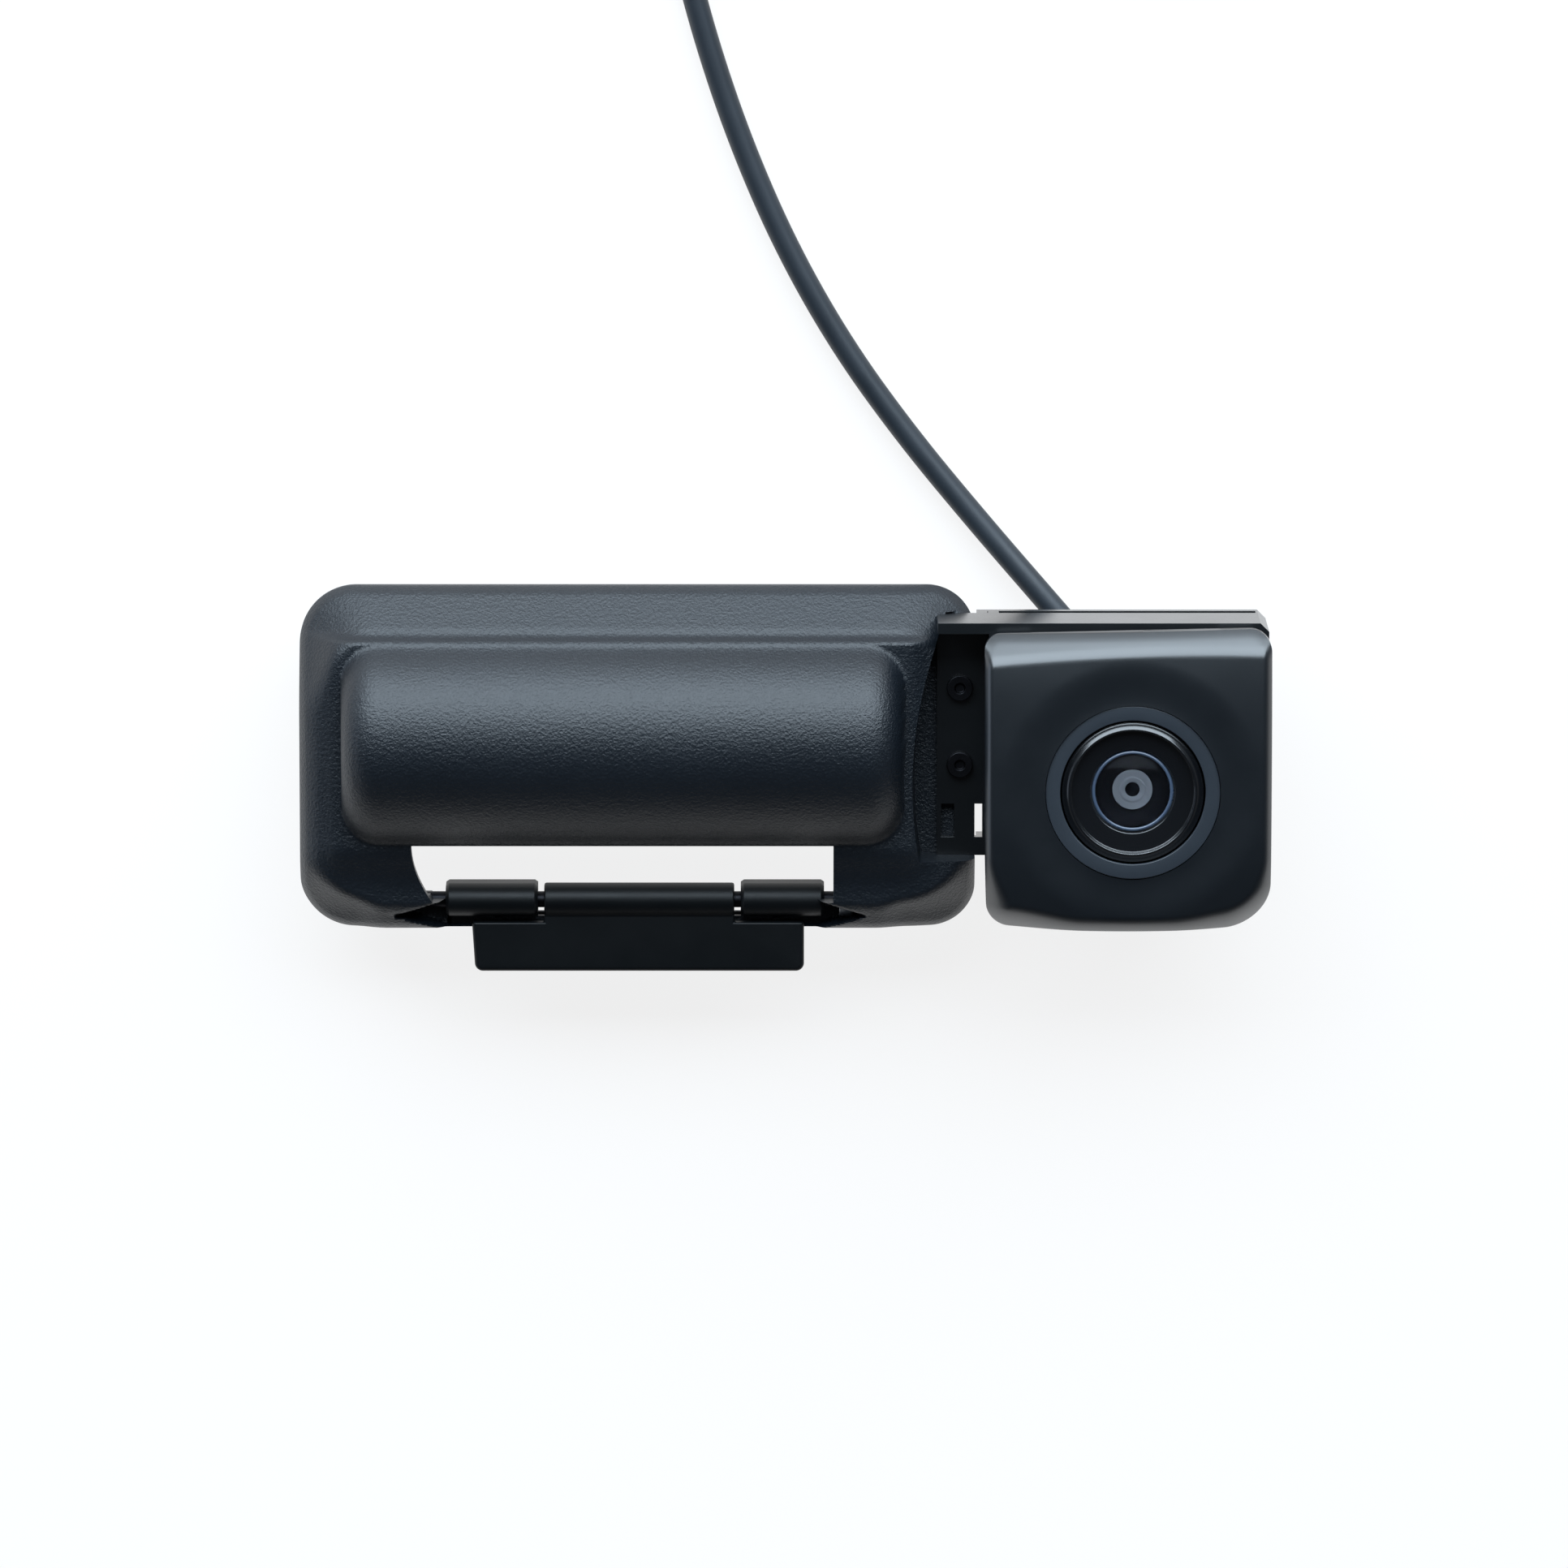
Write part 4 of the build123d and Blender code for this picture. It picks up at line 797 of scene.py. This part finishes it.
def head_front():
    """The head's front: rays from the lens hole out to the outline, ring by ring.

    From the face's height come off a crown (powers of the shares across and up), a smooth dish round
    the lens, a squared fall at the outline, wider at the lower corners, and a bevel along the top.
    """
    turns = 720
    angle = np.linspace(0, 2 * np.pi, turns, endpoint=False)
    ray_x, ray_y = np.cos(angle), np.sin(angle)
    # Halving finds how far out each ray meets the outline.
    near, far = np.full(turns, 10.0), np.full(turns, 50.0)
    for _ in range(40):
        middle = (near + far) / 2
        x, y = lens_centre[0] + middle * ray_x, lens_centre[1] + middle * ray_y
        inside = inset_from(x, y, head_low, head_high, head_corners) > 0
        near, far = np.where(inside, middle, near), np.where(inside, far, middle)
    hole = trim_outer + 0.06
    near_hole, between, near_edge = (0, 0.30, 14), (0.32, 0.72, 18), (0.74, 1.0, 22)
    share = np.concatenate([np.linspace(*stretch) for stretch in (near_hole, between, near_edge)])
    radius = hole + share[:, None] * (near - hole)
    x = lens_centre[0] + radius * ray_x
    y = lens_centre[1] + radius * ray_y
    inset = inset_from(x, y, head_low, head_high, head_corners)
    across = (x - head_middle[0]) / head_half[0]
    up = (y - head_middle[1]) / head_half[1]
    upper, lower = np.clip(up, 0, 1), np.clip(-up, 0, 1)
    crown = side_crown * np.abs(across) ** 2.4 + end_crown * np.abs(up) ** 2.3
    dish = dish_depth * eased(dish_radius - radius, 0.0, dish_slope_width)
    low_corner = eased(-up, 0.5, 1.0) * (0.3 + 0.7 * eased(np.abs(across), 0.3, 0.9))
    edge_width = edge_round + low_edge_round * low_corner
    edge = edge_fall * edge_width * np.clip(1 - inset / edge_width, 0, 1) ** 2
    edge = edge * (1 - 0.8 * eased(up, 0.80, 0.95))
    top_bevel = bevel_high + 1.0 * across**2 - 0.6 * across
    bevel = bevel_slope * blended_high(top_bevel - (head_high[1] - y), np.zeros_like(x), 1.2)
    z = head_face - crown - dish - edge - bevel
    # The top edge rises to the right, the bottom edge bows down and the lower left corner draws in.
    y = y + 0.55 * across * upper**2 - 0.9 * (1 - across**2) * lower**3 + 0.5 * lower**3
    x = x + 0.5 * np.clip(-across, 0, 1) ** 2 * lower**2
    rings = [np.stack([x, y, z], axis=-1)]
    rim = rings[0][-1]
    for depth, inward in ((front_back + 0.5, 0.0), (front_back, 0.5)):
        ring = rim.copy()
        away = rim[:, :2] - head_middle
        ring[:, :2] = rim[:, :2] - away / np.linalg.norm(away, axis=1, keepdims=True) * inward
        ring[:, 2] = depth
        rings.append(ring[None])
    for r, depth in ((hole, front_back), (hole, seat_z - 0.4), (hole, head_face - 2.6)):
        hole_x, hole_y = lens_centre[0] + r * ray_x, lens_centre[1] + r * ray_y
        rings.append(np.stack([hole_x, hole_y, np.full(turns, depth)], axis=-1)[None])
    points = np.concatenate(rings)
    rows = len(points)
    faces = grid_faces(rows, turns, wrap=True).tolist()
    last = (rows - 1) * turns
    faces += [(last + i, last + (i + 1) % turns, (i + 1) % turns, i) for i in range(turns)]
    return points.reshape(-1, 3), faces


front_points, front_faces = head_front()
front = new_object("head_front", front_points, front_faces, "camera_head", "head_black", 40.0)
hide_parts("head_housing")


def rear_box():
    """The narrower box behind the head's front: a rounded outline carried back, open inside.

    Each ring is the outline drawn in towards its middle by a share, at its own depth.
    """
    low, high = np.array([40.7, -19.0]), np.array([86.4, 26.0])
    corner = 3.0
    back, softening = 23.0, 0.3
    drawn_in, inner = 0.988, 0.89
    arcs = []
    for quarter, (side_x, side_y) in enumerate(((1, 1), (-1, 1), (-1, -1), (1, -1))):
        centre_x = (high[0] if side_x > 0 else low[0]) - side_x * corner
        centre_y = (high[1] if side_y > 0 else low[1]) - side_y * corner
        angle = np.linspace(0, np.pi / 2, 9) + quarter * np.pi / 2
        arcs.append(np.column_stack([centre_x + corner * np.cos(angle), centre_y + corner * np.sin(angle)]))
    outline = np.concatenate(arcs)
    middle = (low + high) / 2
    levels = [
        (front_back + softening, 1.0), (back + softening, 1.0), (back, drawn_in), (back, inner),
        (front_back, inner),
    ]
    count = len(outline)
    points = np.concatenate([
        np.column_stack([middle + (outline - middle) * scale, np.full(count, z)]) for z, scale in levels
    ])
    faces = grid_faces(len(levels), count, flip=True, wrap=True).tolist()
    last = (len(levels) - 1) * count
    faces += [(i, (i + 1) % count, last + (i + 1) % count, last + i) for i in range(count)]
    return points, faces


rear_points, rear_faces = rear_box()
new_object("head_body", rear_points, rear_faces, "camera_head", "head_black", 40.0)

# ---------------------------------------------------------------- lens
trim = lathe(
    "trim_ring", rounded([
        (trim_inner, head_face - 2.5), (trim_inner, head_face - 1.6), (trim_outer, head_face - 1.6),
        (trim_outer, head_face - 2.5), (trim_inner, head_face - 2.5),
    ], 0.18), lens_centre, "camera_head", "trim_grey",
)
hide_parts("lens_trim_ring")
retainer = lathe(
    "retainer", rounded([
        (7.75, seat_z), (13.05, seat_z), (13.05, seat_z + 1.5), (12.6, seat_z + 1.6), (11.7, seat_z + 2.35),
        (11.35, seat_z + 2.3), (11.3, seat_z + 0.9), (7.75, seat_z + 0.8), (7.75, seat_z),
    ], 0.22), lens_centre, "camera_head", "gloss_black",
)
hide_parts("lens_retainer")
dome_curve = 13.9
dome_radius = 7.35
dome_centre = seat_z + 1.6 - dome_curve
dome_arc = np.linspace(0, math.asin(dome_radius / dome_curve), 24)
dome_profile = [(dome_curve * math.sin(a), dome_centre + dome_curve * math.cos(a)) for a in dome_arc]
dome_profile += [(dome_radius, seat_z - 1.5), (0.0, seat_z - 1.5)]
dome = lathe("front_glass", dome_profile[::-1], lens_centre, "camera_head", "lens_glass")
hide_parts("lens_front_element")
# The ring round the glass edge takes the light blue finish: its colour is a painted reflection of the glass
# edge, not a coating's colour.
reflection_ring = lathe(
    "reflection_ring", rounded([
        (6.85, seat_z + 0.1), (6.85, seat_z + 0.4), (7.1, seat_z + 0.52), (7.4, seat_z + 0.4),
        (7.6, seat_z + 0.0), (6.85, seat_z + 0.1),
    ], 0.12), lens_centre, "camera_head", "trim_grey",
)
reflection_ring.data.materials[0] = painted_reflection_blue
iris = lathe(
    "iris", rounded([
        (1.3, seat_z - 1.95), (1.3, seat_z - 1.75), (2.1, seat_z - 1.62), (2.4, seat_z - 1.7),
        (3.6, seat_z - 1.6), (3.6, seat_z - 2.0), (1.3, seat_z - 1.95),
    ], 0.08), lens_centre, "camera_head", "aperture_grey",
)
well = lathe(
    "iris_well", [
        (0.0, seat_z - 2.35), (6.9, seat_z - 2.35), (6.9, seat_z - 1.52), (6.6, seat_z - 1.52),
        (4.3, seat_z - 2.05), (0.0, seat_z - 2.1),
    ][::-1], lens_centre, "camera_head", "aperture_grey",
)
well.data.materials[0] = finishes["gloss_black"]
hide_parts("aperture_ring")

# ---------------------------------------------------------------- mouldings and fasteners with rounded edges
edges = {
    "camera_carrier": 0.6, "release_paddle": 1.0, "cable_outlet": 0.35, "head_rear_cover": 0.25,
    "bezel_gasket": 0.30, "release_crank": 0.20, "spring_collar": 0.25, "hinge_pin": 0.30,
    "carrier_screws": 0.20, "outlet_screws": 0.15, "head_screws": 0.12, "pivot_screws": 0.12,
    "pivot_washers": 0.12, "lead_grommet": 0.25, "paddle_bumpers": 0.15, "lens_holder": 0.2,
    "main_board": 0.1, "sensor_board": 0.1, "board_chips": 0.1, "board_header": 0.15,
}
dark_finishes = {"hinge_pin": finishes["black_steel"], "release_paddle": painted_shade_matt_black}
for body, members in frame["record"]["behaviour"]["bodies"].items():
    for node in members:
        if node in edges:
            dressed(node, body, slot_of[node], edges[node], dark_finishes.get(node))


# ---------------------------------------------------------------- studs and spring
def threaded_studs():
    """Four studs: a thread's profile turned about each axis, with a tapered tip.

    The radius dips by the thread's depth times half of 1 - cos(turns of the thread up to that height).
    """
    radius, pitch, thread_depth = 2.5, 0.8, 0.24
    tip_radius, tip_height = 1.9, 0.6
    thread_top = 13.2
    end_chamfer = 0.3
    collar_radius = 3.1
    low, high = span("mounting_studs")
    height = np.arange(tip_height, thread_top, pitch / 4)
    crest = radius - thread_depth * (0.5 - 0.5 * np.cos(2 * np.pi * height / pitch))
    profile = np.vstack([
        [[0.0, 0.0], [tip_radius, 0.0]], np.column_stack([crest, height]),
        [[radius, thread_top + end_chamfer], [radius, high[2] - end_chamfer]],
        [[radius - end_chamfer, high[2]], [0.0, high[2]]],
    ])
    places_x = (low[0] + collar_radius, high[0] - collar_radius)
    places_y = (low[1] + collar_radius, high[1] - collar_radius)
    for index, (x, y) in enumerate((x, y) for x in places_x for y in places_y):
        stud = lathe(f"stud_{index + 1}", profile, (x, y), "mount", "zinc_steel", 40)
        if index == 0:
            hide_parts("mounting_studs")


threaded_studs()


def torsion_spring():
    """The paddle's spring: a wire wound evenly round the pin, with one leg against the bezel."""
    low, high = span("paddle_spring")
    wire = 0.48
    wound = 3.0
    turn = np.linspace(0, 2 * np.pi * wound, 91)
    coil_radius = 2.3
    x = low[0] + wire + (high[0] - low[0] - 2 * wire) * turn / turn[-1]
    line = np.stack([x, pin_y - coil_radius * np.sin(turn), pin_z + coil_radius * np.cos(turn)], axis=-1)
    leg_y = pin_y + np.linspace(0.9, 7.0, 6)
    leg = np.stack([np.full(6, x[-1]), leg_y, np.full(6, pin_z + coil_radius)], axis=-1)
    data = bpy.data.curves.new("spring_wire", "CURVE")
    data.dimensions = "3D"
    path = np.concatenate([line, leg])
    spline = data.splines.new("POLY")
    spline.points.add(len(path) - 1)
    for point, place in zip(spline.points, path):
        point.co = (*(c * MM for c in place), 1.0)
    data.bevel_depth = wire * MM
    data.bevel_resolution = 4
    data.use_fill_caps = True
    spring = bpy.data.objects.new("spring_wire", data)
    bpy.context.scene.collection.objects.link(spring)
    data.materials.append(finishes["spring_steel"])
    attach(spring, "mount")
    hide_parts("paddle_spring")


torsion_spring()
